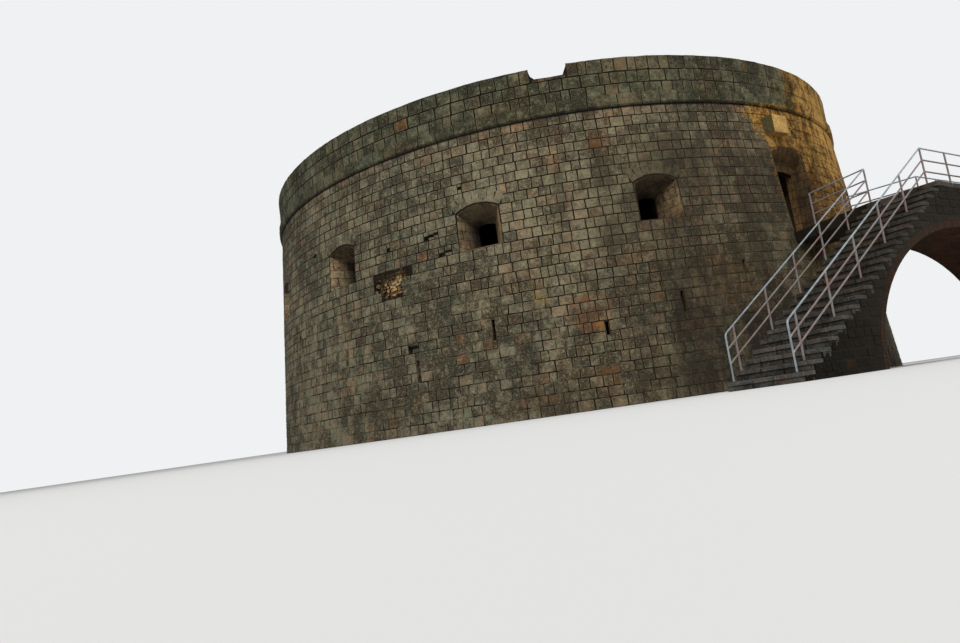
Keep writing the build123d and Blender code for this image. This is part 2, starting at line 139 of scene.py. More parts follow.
class FortColours(bpy.types.PropertyGroup):
    """Linear colours of the stone, brick and steel."""

    pale: swatch("Pale Stone", "Lightest stones of the wall", 0.245, 0.208, 0.127)
    deep: swatch("Deep Stone", "Darkest stones of the wall", 0.06, 0.05, 0.032)
    moss: swatch("Greened Stone", "Stones of the parapet and string course", 0.185, 0.168, 0.098)
    film: swatch("Brown Film", "Smooth dark film beside the stair", 0.05, 0.04, 0.026)
    pointing: swatch("Pointing", "Lime mortar flush with the stones", 0.235, 0.197, 0.117)
    mortar: swatch("Mortar", "Earthy mortar deep in the joints", 0.016, 0.009, 0.005)
    # Soot also colours the painted shade inside the openings and the painted shadow under the string course
    soot: swatch("Soot", "Black growth that runs down the wall", 0.022, 0.02, 0.017)
    rust: swatch("Rust", "Stones stained red", 0.21, 0.085, 0.03)
    # Ochre colours both the ochre stains and the painted sunlight round the door
    ochre_and_sunlight: swatch("Ochre", "Warm stone round the door", 0.56, 0.315, 0.08)
    reveal: swatch("Reveal", "Sheltered stone inside the openings", 0.12, 0.085, 0.046)
    bare: swatch("Bare Rubble", "Stone bared where the facing has fallen", 0.6, 0.36, 0.16)
    # Both tablet colours hold the painted sunlight round the door over the limestone's own colour
    tablet: swatch("Tablet", "Limestone of the tablet", 0.74, 0.5, 0.17)
    tablet_deep: swatch("Tablet's Shade", "Dull places of the tablet", 0.5, 0.33, 0.1)
    brick: swatch("Brick", "Bricks of the stair's arch", 0.075, 0.026, 0.015)
    # Rubble is far darker than the stone itself: painted shade of the stair's flank
    rubble: swatch("Rubble", "Dark rubble of the stair", 0.0085, 0.0072, 0.004)
    tread: swatch("Tread", "Worn steps", 0.118, 0.109, 0.093)
    slab: swatch("Slab", "Dark slab of the bridge", 0.007, 0.0052, 0.0045)
    steel: swatch("Steel", "Grey paint on the hand rails", 0.36, 0.4, 0.42)
    primer: swatch("Primer", "Worn primer on the lower rails", 0.24, 0.155, 0.13)


def face_radius(sizes, height):
    """Radius of the battered wall face at a height."""
    return sizes.top_radius + sizes.batter * (sizes.string_height - height)


def wall_point(azimuth, height):
    """Point on the battered face, by azimuth in degrees and height."""
    angle = math.radians(azimuth)
    radius = face_radius(bpy.context.scene.fort_tower, height)
    return radius * math.sin(angle), -radius * math.cos(angle), height


# Nodes


class Value:
    """Output of a node. A sum on it adds the node that makes the sum."""

    def __init__(self, tree, socket):
        self.tree = tree
        self.socket = socket

    def out(self, label):
        """Another output of the same node."""
        return Value(self.tree, self.socket.node.outputs[label])

    def sum(self, operation, other=0.0, clamp=False):
        """Result of one sum on this value and another."""
        return self.tree.node("ShaderNodeMath", {0: self, 1: other}, operation=operation, use_clamp=clamp)

    def __add__(self, other):
        return self.sum("ADD", other)

    def __sub__(self, other):
        return self.sum("SUBTRACT", other)

    def __mul__(self, other):
        return self.sum("MULTIPLY", other)

    def __truediv__(self, other):
        return self.sum("DIVIDE", other)

    def swing(self, share):
        """How far it is from the middle of 0 and 1, times a share."""
        return (self - 0.5) * share

    def ramp(self, low, high, to_low=0.0, to_high=1.0):
        """Clamped smooth ramp."""
        ends = {"Value": self, "From Min": low, "From Max": high, "To Min": to_low, "To Max": to_high}
        return self.tree.node("ShaderNodeMapRange", ends, interpolation_type="SMOOTHSTEP")


class Tree:
    """Node tree in which each call adds a node and gives its first output."""

    def __init__(self, tree):
        self.tree = tree

    def __getitem__(self, label):
        return Value(self, self.inputs[label])

    def fill(self, node, inputs):
        """Link or set the inputs of a node."""
        for key, value in inputs.items():
            if isinstance(value, Value):
                self.tree.links.new(value.socket, node.inputs[key])
            else:
                node.inputs[key].default_value = value

    def node(self, kind, inputs=None, **settings):
        """Add a node, set its options, then link or set its inputs."""
        node = self.tree.nodes.new(kind)
        for name, value in settings.items():
            setattr(node, name, value)
        self.fill(node, inputs or {})
        return Value(self, next(iter(node.outputs), None))

    def group(self, name, inputs):
        """Place a shared group."""
        return self.node("ShaderNodeGroup", inputs, node_tree=bpy.data.node_groups[name])

    def place(self):
        """Object coordinates."""
        return self.node("ShaderNodeTexCoord").out("Object")

    def normal(self):
        """The way that the face looks, by axis."""
        return self.split(self.node("ShaderNodeNewGeometry").out("True Normal"))

    def attribute(self, name):
        """Named attribute of the mesh."""
        return self.node("ShaderNodeAttribute", attribute_name=name).out("Fac")

    def split(self, vector):
        """The three parts of a vector."""
        parts = self.node("ShaderNodeSeparateXYZ", {0: vector})
        return [parts.out(axis) for axis in range(3)]

    def vector(self, operation, first, second=(0, 0, 0), scale=1.0):
        """Result of one sum on vectors."""
        return self.node("ShaderNodeVectorMath", {0: first, 1: second, 3: scale}, operation=operation)

    def noise(self, vector, scale, detail=4.0, roughness=0.55, stretch=None, shift=(0, 0, 0)):
        """Noise value at a place, which may be stretched by axis and shifted."""
        if stretch:
            vector = self.node("ShaderNodeMapping", {"Vector": vector, "Scale": stretch, "Location": shift})
        inputs = {"Vector": vector, "Scale": scale, "Detail": detail, "Roughness": roughness}
        return self.node("ShaderNodeTexNoise", inputs)

    def blend(self, amount, first, second):
        """Mix two numbers."""
        return self.node("ShaderNodeMix", {0: amount, 2: first, 3: second})

    def mix(self, amount, first, second, mode="MIX"):
        """Mix two colours."""
        inputs = {0: amount, 6: first, 7: second}
        return self.node("ShaderNodeMix", inputs, data_type="RGBA", blend_type=mode).out(2)

    def tint(self, colour, *factors):
        """Multiply a colour."""
        return self.mix(1.0, colour, (*factors, 1), "MULTIPLY")

    def end(self, results):
        """Hand the results to the tree's outputs."""
        self.node("NodeGroupOutput", results)


def group_tree(name, inputs, outputs, kind="ShaderNodeTree"):
    """Node group. Its sockets are named, each with its default value or else its kind."""
    group = bpy.data.node_groups.new(name, kind)
    for direction, sockets in (("INPUT", inputs), ("OUTPUT", outputs)):
        for label, value in sockets.items():
            word = value
            if not isinstance(value, str):
                word = {int: "Int", float: "Float"}.get(type(value)) or ("Vector", "Color")[len(value) - 3]
            socket = group.interface.new_socket(
                name=label, in_out=direction, socket_type="NodeSocket" + word
            )
            if word is not value:
                socket.default_value = value
    tree = Tree(group)
    tree.inputs = group.nodes.new("NodeGroupInput").outputs
    return tree


# Stone shapes


def mesh_object(name, vertices, faces, worn=None):
    """Object made from plain lists, with the wear of each vertex where it is given."""
    mesh = bpy.data.meshes.new(name)
    mesh.from_pydata(vertices, [], faces)
    mesh.update()
    if worn:
        mesh.attributes.new("rim", "FLOAT", "POINT").data.foreach_set("value", worn)
    return bpy.data.objects.new(name, mesh)


def dressed_stone(name, chance, edge=0.483, chip=0.06):
    """Facing stone on a unit cell: a worn face at zero and a rim one unit behind it."""
    rows = (-edge, -0.4, 0.4, edge)
    columns = (-edge, -0.41, 0.41, edge)
    rim_steps = (-0.5, -0.4, 0.4, 0.5)
    vertices = []
    worn = []
    for row, y in enumerate(rows):
        for column, x in enumerate(columns):
            corner = row in (0, 3) and column in (0, 3)
            border = row in (0, 3) or column in (0, 3)
            pull = 1 - (chance.uniform(0.005, chip) if corner else chance.uniform(0, chip * 0.6) * border)
            drop = chance.uniform(-0.6, -0.2) if corner else chance.uniform(-0.34, -0.06) if border else 0
            vertices.append((x * pull, y * pull, drop + chance.uniform(-0.1, 0.04)))
            worn.append(float(border))
    rim = [(0, 0), (0, 1), (0, 2), (0, 3), (1, 3), (2, 3), (3, 3), (3, 2), (3, 1), (3, 0), (2, 0), (1, 0)]
    for row, column in rim:
        vertices.append((rim_steps[column], rim_steps[row], -1.0))
        worn.append(1.0)
    faces = []
    for first in (4 * row + column for row in range(3) for column in range(3)):
        faces.append((first, first + 1, first + 5, first + 4))
    for k, (row, column) in enumerate(rim):
        after = (k + 1) % len(rim)
        next_row, next_column = rim[after]
        faces.append((16 + k, 16 + after, next_row * 4 + next_column, row * 4 + column))
    faces.append(tuple(16 + k for k in reversed(range(len(rim)))))
    return mesh_object(name, vertices, faces, worn)


def worn_block(name, chance, round_off=0.06):
    """Block of unit size with worn edges, seen from every side."""
    shape = bmesh.new()
    bmesh.ops.create_cube(shape, size=1.0)
    edges = list(shape.edges)
    bmesh.ops.bevel(shape, geom=edges, offset=round_off, segments=1, affect="EDGES", profile=0.6)
    for vertex in shape.verts:
        vertex.co *= chance.uniform(0.975, 1.0)
    mesh = bpy.data.meshes.new(name)
    shape.to_mesh(mesh)
    shape.free()
    return bpy.data.objects.new(name, mesh)


def string_stone(name, chance):
    """Long ashlar of the string course, its section in metres and its length of one unit."""
    section = (
        (-0.5, -0.11), (-0.5, -0.06), (-0.357, 0.0), (0.0, 0.002), (0.43, 0.0), (0.5, -0.03), (0.5, -0.11),
    )
    stations = (-0.5, -0.492, -0.465, 0.0, 0.465, 0.492, 0.5)
    vertices = []
    for station in stations:
        end = abs(station) == 0.5
        wear = chance.uniform(-0.004, 0.0)
        vertices += [(station, up, out + wear - 0.012 * end) for up, out in section]
    across = len(section)
    faces = []
    for k in range(len(stations) - 1):
        for j in range(across):
            a = k * across + j
            b = k * across + (j + 1) % across
            faces.append((a, a + across, b + across, b))
    faces.append(tuple(range(across)))
    faces.append(tuple(reversed(range((len(stations) - 1) * across, len(stations) * across))))
    return mesh_object(name, vertices, faces, [float(abs(vertex[0]) > 0.49) for vertex in vertices])


def stone_collection(name, maker, count, seed, **options):
    """Hidden collection of a few variants of one stone."""
    chance = random.Random(seed)
    variants = bpy.data.collections.new(name)
    for k in range(count):
        stone = maker(f"{name}_{k}", chance, **options)
        shape = bmesh.new()
        shape.from_mesh(stone.data)
        bmesh.ops.recalc_face_normals(shape, faces=list(shape.faces))
        shape.to_mesh(stone.data)
        shape.free()
        variants.objects.link(stone)
    return variants


# Laying out


class Panel:
    """Stones on an unrolled wall: across, up and out of it, in metres."""

    def __init__(self, seed):
        self.chance = random.Random(seed)
        self.stones = []

    def add(self, across, up, width, height, depth, out=0.0, turn=0.0, even=None):
        """Place one stone by its centre, in a random tone or in the plain one given."""
        chance = self.chance
        tone = chance.random()
        rust = chance.random()
        if even is not None:
            tone, rust = even, 0.42
        kind = chance.randrange(64)
        tilt = (chance.gauss(0, 0.008), chance.gauss(0, 0.008), turn + chance.gauss(0, 0.006))
        self.stones.append(((across, up, out), (width, height, depth), tilt, tone, rust, kind))

    def row(self, start, end, low, high, mean_width, joint, depth, out=0.0, spread=0.4, uneven=0.005):
        """Fill a stretch of a course with stones of uneven width."""
        length = end - start
        count = max(1, round(length / mean_width))
        shares = [1 + self.chance.uniform(-spread, spread) for _ in range(count)]
        scale = length / sum(shares)
        place = start
        for share in shares:
            width = share * scale
            lift = max(min(self.chance.gauss(-uneven, uneven), 0), -1.8 * uneven)
            middle = place + width / 2
            self.add(middle, (low + high) / 2, width - joint, high - low - joint, depth, out + lift)
            place += width

    def points(self, name, keep=None):
        """Object with one vertex a stone, its size, turn and tone as attributes."""
        stones = [stone for stone in self.stones if keep is None or keep(stone[0])]
        mesh = bpy.data.meshes.new(name)
        mesh.from_pydata([stone[0] for stone in stones], [], [])
        for column, label in enumerate(("size", "turn", "tone", "rust", "kind"), start=1):
            kind = "FLOAT_VECTOR" if column < 3 else "INT" if label == "kind" else "FLOAT"
            attribute = mesh.attributes.new(label, kind, "POINT")
            values = [stone[column] for stone in stones]
            if column < 3:
                attribute.data.foreach_set("vector", [part for value in values for part in value])
            else:
                attribute.data.foreach_set("value", values)
        return bpy.data.objects.new(name, mesh)


def arch_circle(opening):
    """Radius of an opening's segmental arch and the height of its centre."""
    half, _, springing, rise, _ = opening
    radius = (half**2 + rise**2) / (2 * rise)
    return radius, springing + rise - radius


def arch_extent(centre, opening):
    """Keep-out of an arched opening and of the lower part of its ring, course by course."""
    half, sill, springing, rise, ring = opening
    radius, middle = arch_circle(opening)
    hidden = ring * 0.5
    top = springing + rise + hidden

    def extent(low, high):
        if high <= sill + SLACK or low >= top - SLACK:
            return None
        level = max(low, springing)
        outer = max((radius + hidden) ** 2 - (level - middle) ** 2, half**2)
        reach = half if high < springing + SLACK else min(math.sqrt(outer), half * 1.12)
        return centre - reach, centre + reach, max(low, sill), min(high, top)

    return extent


def box_extent(left, right, foot, top):
    """Keep-out of a plain rectangle."""

    def extent(low, high):
        if high <= foot + SLACK or low >= top - SLACK:
            return None
        return left, right, max(low, foot), min(high, top)

    return extent


def shape_extent(outline):
    """Keep-out of a polygon of (across, up) points, as wide as it is at each course."""

    def extent(low, high):
        crossings = []
        for (x0, y0), (x1, y1) in zip(outline, outline[1:] + outline[:1]):
            for level in (low + 0.02, (low + high) / 2, high - 0.02):
                if (y0 - level) * (y1 - level) < 0:
                    crossings.append(x0 + (x1 - x0) * (level - y0) / (y1 - y0))
        if len(crossings) < 2:
            return None
        return min(crossings), max(crossings), low, high

    return extent


def lay_course(panel, half_turn, low, high, keep_outs, stones, mean_width, spread=0.4):
    """Lay one course round, with thin stones over and under the keep-outs it meets in part."""
    blocked = []
    fillers = []
    for found in (extent(low, high) for extent in keep_outs):
        if found is None:
            continue
        left, right, foot, top = found
        blocked.append((left, right))
        if foot - low > LEAST_STONE:
            fillers.append((left, right, low, foot))
        if high - top > LEAST_STONE:
            fillers.append((left, right, top, high))
    place = -half_turn
    for left, right in sorted(blocked) + [(half_turn, half_turn)]:
        if left - place > LEAST_STONE:
            panel.row(place, left, low, high, mean_width, stones.joint, stones.relief, spread=spread)
        place = max(place, right)
    for left, right, foot, top in fillers:
        others = (extent(foot, top) for extent in keep_outs)
        if not any(o and o[0] < right - 0.02 and o[1] > left + 0.02 and o[3] - o[2] > 0.03 for o in others):
            panel.row(left, right, foot, top, mean_width, stones.joint, stones.relief)


def lay_voussoirs(panel, centre, opening, count, joint, depth, tone):
    """Wedge stones round a segmental arch."""
    radius, middle = arch_circle(opening)
    half, ring = opening[0], opening[-1]
    spread = math.asin(half / radius)
    pitch = 2 * spread / count
    reach = radius + ring / 2
    for k in range(count):
        angle = -spread + pitch * (k + 0.5)
        across, up = centre + reach * math.sin(angle), middle + reach * math.cos(angle)
        panel.add(across, up, reach * pitch - joint, ring - joint, depth, 0.0, -angle, tone)


def course_levels(levels, mean_height, chance):
    """Course lines between fixed levels, uneven in height."""
    lines = [levels[0]]
    for low, high in zip(levels, levels[1:]):
        count = max(1, round((high - low) / mean_height))
        shares = [chance.uniform(0.91, 1.09) for _ in range(count)]
        for k in range(1, count + 1):
            lines.append(low + (high - low) * sum(shares[:k]) / sum(shares))
    return lines


def laying_tree(name, round_wall):
    """Node tree that sets a stone on each point, wears it, and puts the panel in its place."""
    sockets = {
        "Geometry": "Geometry", "Stones": "Collection", "Wobble": 0.01, "Pitting": 0.005, "Seed": 1,
        "Material": "Material",
    }
    if round_wall:
        sockets.update({"Radius": 12.46, "Batter": 0.0, "Level": 9.14, "Facing": 1.0, "Lying": 0.0})
    else:
        sockets.update({"Place": "Vector", "Heading": "Rotation"})
    tree = group_tree(name, sockets, {"Geometry": "Geometry"}, "GeometryNodeTree")
    size, turn, kind = (
        tree.node("GeometryNodeInputNamedAttribute", {"Name": label}, data_type=data)
        for label, data in (("size", "FLOAT_VECTOR"), ("turn", "FLOAT_VECTOR"), ("kind", "INT"))
    )
    variants = tree.node(
        "GeometryNodeCollectionInfo",
        {"Collection": tree["Stones"], "Separate Children": True, "Reset Children": True},
    )
    stones = {
        "Points": tree["Geometry"], "Instance": variants, "Pick Instance": True, "Instance Index": kind,
        "Rotation": tree.node("FunctionNodeEulerToRotation", {0: turn}), "Scale": size,
    }
    laid = tree.node("GeometryNodeInstanceOnPoints", stones)
    laid = tree.node("GeometryNodeRealizeInstances", {"Geometry": laid})
    shift = tree.vector("SCALE", (7.3, 3.1, 5.7), scale=tree["Seed"])
    place = tree.vector("ADD", tree.node("GeometryNodeInputPosition"), shift)
    wander = tree.node("ShaderNodeTexNoise", {"Vector": place, "Scale": 2.6, "Detail": 3.0}).out("Color")
    wander = tree.vector("MULTIPLY", tree.vector("SUBTRACT", wander, (0.5, 0.5, 0.5)), (1, 1, 0.12))
    wander = tree.vector("SCALE", wander, scale=tree["Wobble"] * 4.0)
    pits = tree.node("ShaderNodeTexNoise", {"Vector": place, "Scale": 7.0, "Detail": 2.0})
    dent = tree.node("ShaderNodeCombineXYZ", {"Z": (pits - 0.72) * tree["Pitting"]})
    offset = tree.vector("ADD", wander, dent)
    laid = tree.node("GeometryNodeSetPosition", {"Geometry": laid, "Offset": offset})
    if round_wall:
        across, up, out = tree.split(tree.node("GeometryNodeInputPosition"))
        radius, level, facing, lying = (tree[label] for label in ("Radius", "Level", "Facing", "Lying"))
        angle = across / radius * facing
        standing = (level - up) * tree["Batter"] + out * facing
        radius = radius + tree.blend(lying, standing, up * -1.0)
        height = tree.blend(lying, up, level + out)
        x, y = radius * angle.sum("SINE"), radius * angle.sum("COSINE") * -1.0
        wrapped = tree.node("ShaderNodeCombineXYZ", {"X": x, "Y": y, "Z": height})
        laid = tree.node("GeometryNodeSetPosition", {"Geometry": laid, "Position": wrapped})
    else:
        heading = {"Geometry": laid, "Translation": tree["Place"], "Rotation": tree["Heading"]}
        laid = tree.node("GeometryNodeTransform", heading)
    tree.end({0: tree.node("GeometryNodeSetMaterial", {"Geometry": laid, "Material": tree["Material"]})})
    return tree.tree


def bake(points, tree, values, name):
    """Run a node tree on the points and return the result as a plain mesh object."""
    scene = bpy.context.scene
    scene.collection.objects.link(points)
    modifier = points.modifiers.new("lay", "NODES")
    modifier.node_group = tree
    sockets = {item.name: item.identifier for item in tree.interface.items_tree if item.in_out == "INPUT"}
    for label, value in values.items():
        modifier[sockets[label]] = value
    depsgraph = bpy.context.evaluated_depsgraph_get()
    mesh = bpy.data.meshes.new_from_object(points.evaluated_get(depsgraph), depsgraph=depsgraph)
    points.modifiers.remove(modifier)
    bpy.data.objects.remove(points)
    for label in ("size", "turn", "kind"):
        if label in mesh.attributes:
            mesh.attributes.remove(mesh.attributes[label])
    mesh.name = name
    laid = bpy.data.objects.new(name, mesh)
    scene.collection.objects.link(laid)
    return laid


def core_copy(node, set_back, inner, mortar):
    """Copy of a CAD node with its faces set back behind the stones, as a mortar core."""
    shape = bmesh.new()
    shape.from_mesh(frame["nodes"][node].data)
    bmesh.ops.remove_doubles(shape, verts=list(shape.verts), dist=0.0002)
    moved = set()
    for vertex in shape.verts:
        place = set_back(vertex.co)
        if place is not None:
            vertex.co = place
            moved.add(vertex)
    for face in shape.faces:
        face.material_index = 1 if moved.issuperset(face.verts) else 0
        face.smooth = False
    mesh = bpy.data.meshes.new(node + "_core")
    shape.to_mesh(mesh)
    shape.free()
    mesh.materials.append(finishes[inner])
    mesh.materials.append(finishes[mortar])
    core = bpy.data.objects.new(node + "_core", mesh)
    bpy.context.scene.collection.objects.link(core)
    return core


def settle(name, objects, slot, *nodes):
    """Join objects into one piece that rides on the model in place of its CAD nodes."""
    piece = objects[0]
    if len(objects) > 1:
        with bpy.context.temp_override(active_object=piece, selected_editable_objects=objects):
            bpy.ops.object.join()
    piece.name = name
    piece.data.name = name
    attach(piece, "root")
    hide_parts(*nodes)


# Finishes

# Default colours of the shared groups
STONE_COLOUR = (0.2, 0.17, 0.13, 1)
RUST_COLOUR = (0.3, 0.1, 0.04, 1)
# Between which places along Y the looks that belong to the front fade in
FRONT = (-6.5, -9.0)
# Near black painted shade in the holes that fallen stones have left
HOLE_SHADE = (0.003, 0.002, 0.0015, 1)
WORN_STEEL = (0.11, 0.05, 0.025, 1)
# Azimuth in degrees, height, reach, tallness, colour name and amount
STAINS = (
    (-36.9, 2.8, 0.7, 1.1, "rust", 0.8), (-18.0, 3.2, 1.4, 0.8, "rust", 0.4),
    (-36.3, 0.8, 0.45, 1.3, "rust", 0.5), (-31.7, 8.0, 0.45, 1.4, "rust", 0.55),
    (-24.7, 2.0, 0.6, 0.8, "rust", 0.4), (-46.1, 0.5, 0.8, 0.5, "rust", 0.45),
    (-38.9, 7.6, 0.2, 2.0, "rust", 0.6), (-67.0, 0.6, 0.35, 1.0, "rust", 0.5),
    (-43.7, 3.7, 0.3, 2.4, "ochre_and_sunlight", 0.2), (-30.2, 4.4, 0.45, 1.0, "ochre_and_sunlight", 0.16),
    (-35.6, 2.4, 0.3, 1.2, "ochre_and_sunlight", 0.2), (-26.3, 0.6, 1.7, 0.6, "film", 0.7),
    (-12.0, 4.5, 0.6, 3.6, "film", 0.6), (-42.3, 0.4, 1.5, 0.5, "film", 0.5),
    (-16.7, 1.6, 0.7, 1.8, "film", 0.6), (-32.6, 5.1, 0.6, 1.7, "film", 0.75),
    (-70.2, 1.1, 0.8, 0.9, "film", 0.6), (-32.3, 7.1, 0.4, 3.0, "film", 0.7),
    (-38.4, 6.6, 0.28, 5.0, "film", 0.65), (-22.0, 7.4, 1.4, 1.0, "film", 0.4),
)


def open_joints(tree, place):
    """Share of the joints that are open: clear near the top, faint low down and beside the stair."""
    x, y, z = tree.split(place)
    share = tree.noise(place, 1.3, 5.0, 0.72) + z.ramp(2.0, 7.0, 0.0, 0.14)
    closed = x.ramp(-6.5, -4.0, 0.0, -0.12) + x.ramp(-2.0, -1.0, 0.0, -0.14)
    share = share + closed * y.ramp(*FRONT) + x.ramp(-8.5, -10.5, 0.0, -0.06)
    return share.ramp(0.36, 0.54)


def grain_group():
    """Colour and relief of worn limestone: tone of each stone, mottling, specks and pits, with a painted
    highlight and painted shade along each stone's rim.
    """
    inputs = {
        "Pale": STONE_COLOUR, "Deep": (0.08, 0.07, 0.05, 1), "Rust": RUST_COLOUR, "Tone": 0.5,
        "Rust Chance": 0.35, "Contrast": 1.0,
    }
    tree = group_tree("Stone Grain", inputs, {"Color": "Color", "Height": "Float", "Roughness": "Float"})
    place = tree.place()
    mottle = tree.noise(place, 2.3, 7.0, 0.72)
    blotch = tree.noise(place, 7.5, 6.0, 0.75)
    cloud = tree.noise(place, 0.9, 5.0, 0.7, (1.0, 1.0, 0.7))
    drift = tree.noise(place, 0.23, 3.0)
    speck = tree.noise(place, 17.0, 5.0, 0.8) * 0.6 + tree.noise(place, 31.0, 3.0, 0.8) * 0.4
    opened = open_joints(tree, place)
    rough_cast = opened.ramp(0.0, 1.0, 1.35, 1.0)
    amount = tree["Tone"].swing(0.52)
    for layer, share in ((mottle, 2.9), (blotch, 2.0), (cloud, 2.3), (drift, 2.0)):
        amount = amount + layer.swing(share)
    amount = (amount * tree["Contrast"] * rough_cast).sum("ADD", 0.44, clamp=True)
    colour = tree.mix(amount, tree["Deep"], tree["Pale"])
    chance = tree["Rust Chance"]
    colour = tree.mix(chance.ramp(0.26, 0.2), colour, tree.tint(colour, 1.08, 0.96, 0.93))
    greened = tree.tint(colour, 0.96, 1.01, 1.02)
    colour = tree.mix(chance.ramp(0.5, 0.55) * chance.ramp(0.85, 0.8), colour, greened)
    rusty = chance.ramp(0.965, 0.99) * mottle.ramp(0.42, 0.62, 0.1, 0.7)
    colour = tree.mix(rusty, colour, tree["Rust"])
    white = tree.tint(tree["Pale"], 1.7, 1.68, 1.6)
    shade = tree.tint(tree["Deep"], 0.2, 0.16, 0.125)
    colour = tree.mix(speck.ramp(0.53, 0.61, 0.0, 0.52) * rough_cast, colour, white)
    colour = tree.mix(speck.ramp(0.47, 0.39, 0.0, 0.62) * rough_cast, colour, shade)
    # Painted highlight just inside each stone's rim; the rim itself is darkened like the joint beside it,
    # partly dirt and partly painted shade at the worn arrises
    worn = tree.attribute("rim") + blotch.swing(2.4)
    share = opened.ramp(0.0, 1.0, 0.4, 1.0) * mottle.ramp(0.44, 0.54, 0.55, 1.0)
    rim_highlight = worn.ramp(0.1, 0.4) * worn.ramp(0.75, 0.45) * share * 0.45
    colour = tree.mix(rim_highlight, colour, white)
    colour = tree.mix(worn.ramp(0.5, 0.9, 0.0, 0.95) * share, colour, shade)
    height = speck * 0.7 + blotch * 1.2
    tree.end({"Color": colour, "Height": height, "Roughness": speck.ramp(0.3, 0.7, 0.82, 0.98)})


def weather_group():
    """Soot, grey film, painted sunlight and painted shade over a tower's wall, by place on it, with a painted
    shadow under the string course.
    """
    inputs = {
        "Color": STONE_COLOUR, "Soot": (0.02, 0.02, 0.015, 1), "Film": (0.1, 0.1, 0.09, 1),
        "Ochre": (0.4, 0.25, 0.1, 1), "Soot Amount": 1.0, "Ochre Amount": 1.0,
    }
    tree = group_tree("Tower Weather", inputs, {"Color": "Color"})
    place = tree.place()
    x, y, z = tree.split(place)
    front = y.ramp(*FRONT)
    streak = tree.noise(place, 1.5, 6.0, 0.68, (1.0, 1.0, 0.14))
    patch = tree.noise(place, 0.42, 5.0, 0.62, (1.0, 1.0, 0.6), (3.7, 1.9, 0.4))
    fine = tree.noise(place, 8.0, 6.0, 0.75)
    # Soot and brown film, heavier beside the stair; the soot that grows to the right, towards the stair, is
    # also painted shade on that side of the wall
    soot = streak * 0.55 + patch * 0.42 + fine * 0.5 + x.ramp(-7.5, -4.0, 0.0, 0.07) * front
    soot = soot + z.ramp(4.0, 1.0, 0.0, 0.1) * x.ramp(-9.5, -6.0) * front
    soot = soot.ramp(0.76, 0.98, 0.0, 0.85) * tree.noise(place, 21.0, 4.0, 0.8).ramp(0.42, 0.58, 0.35, 1.0)
    soot = soot * tree["Soot Amount"]
    film = x.ramp(-8.5, -4.5) * z.ramp(8.9, 7.0) * front * (patch + streak).ramp(0.8, 1.15, 0.5, 0.95)
    filmed = tree.mix(0.45, tree.tint(tree["Color"], 0.62, 0.57, 0.52), tree["Film"])
    # Cool and flushed stretches of the wall; the cooling that grows towards the tower's left side is painted
    # shade
    cool_and_left_shade = tree.noise(place, 0.6, 6.0, 0.7, (1, 1, 0.5), (8, 2, 5)) + x.ramp(-8.0, -12.0, -0.06, 0.16)
    cooled = tree.tint(tree["Color"], 0.86, 0.91, 0.96)
    colour = tree.mix(cool_and_left_shade.ramp(0.44, 0.64), tree["Color"], cooled)
    blush = tree.noise(place, 1.3, 6.0, 0.75, (1, 1, 1), (2, 7, 1)) + z.ramp(8.2, 9.1, 0.0, 0.08)
    blush = blush.ramp(0.54, 0.64, 0.0, 0.8) * z.ramp(9.16, 9.12)
    colour = tree.mix(blush, colour, tree.tint(colour, 1.14, 0.92, 0.86))
    colour = tree.mix(film, colour, filmed)
    colour = tree.mix(soot, colour, tree["Soot"])
    # Painted shadow: a dark line on the wall under the string course
    string_shadow = z.ramp(9.07, 9.11) * z.ramp(9.17, 9.15) * streak.ramp(0.3, 0.55, 0.55, 0.95)
    colour = tree.mix(string_shadow, colour, tree["Soot"])
    # Painted sunlight: a warm sunlit patch to the right of the door, with painted leaf shadows in it
    border = z.ramp(7.4, 8.8, 0.75, 1.65) + z.ramp(9.1, 9.4, 0.0, -2.15)
    warm = (x + (fine.swing(3.0) + patch.swing(1.6)) + border).ramp(-0.2, 0.25)
    roam = patch.swing(7.0)
    outside = (x * x + y * y).sum("SQRT")
    for limit, start, end in (
        (z + roam, 1.8, 4.8), (y, -9.0, -11.0), (x + roam, 8.6, 4.6), (outside, 11.5, 11.9),
    ):
        warm = warm * limit.ramp(start, end)
    glow = (fine * 0.6 + patch * 0.7).ramp(0.58, 0.72, 0.0, 0.9)
    tinted = tree.mix(glow, tree.tint(colour, 1.72, 1.12, 0.4), tree["Ochre"])
    # Painted leaf shadows that dull the sunlit patch in places
    shaded = tree.noise(place, 2.4, 6.0, 0.75, (1, 1, 0.6), (1, 4, 9)) + z.ramp(7.6, 6.2, 0.0, 0.1)
    leaf_shadowed = tree.tint(tinted, 0.34, 0.3, 0.3)
    tinted = tree.mix(shaded.ramp(0.48, 0.58, 0.0, 0.9), tinted, leaf_shadowed)
    tree.end({"Color": tree.mix(warm * tree["Ochre Amount"], colour, tinted)})


def stain_group():
    """Stain round one place, broken up by noise."""
    inputs = {
        "Color": STONE_COLOUR, "Stain": RUST_COLOUR, "Centre": (0, 0, 0), "Reach": 1.0, "Tall": 1.0,
        "Amount": 0.8, "Share": 1.0, "Broken": 0.5, "Spread": 4.2,
    }
    tree = group_tree("Stain", inputs, {"Color": "Color"})
    x, y, z = tree.split(tree.vector("SUBTRACT", tree.place(), tree["Centre"]))
    flat = tree.node("ShaderNodeCombineXYZ", {"X": x, "Y": y, "Z": z / tree["Tall"]})
    far = tree.vector("LENGTH", flat).out("Value") / tree["Reach"] + tree["Broken"].swing(tree["Spread"])
    amount = far.ramp(1.0, 0.35) * tree["Amount"] * tree["Share"]
    tree.end({"Color": tree.mix(amount, tree["Color"], tree["Stain"])})


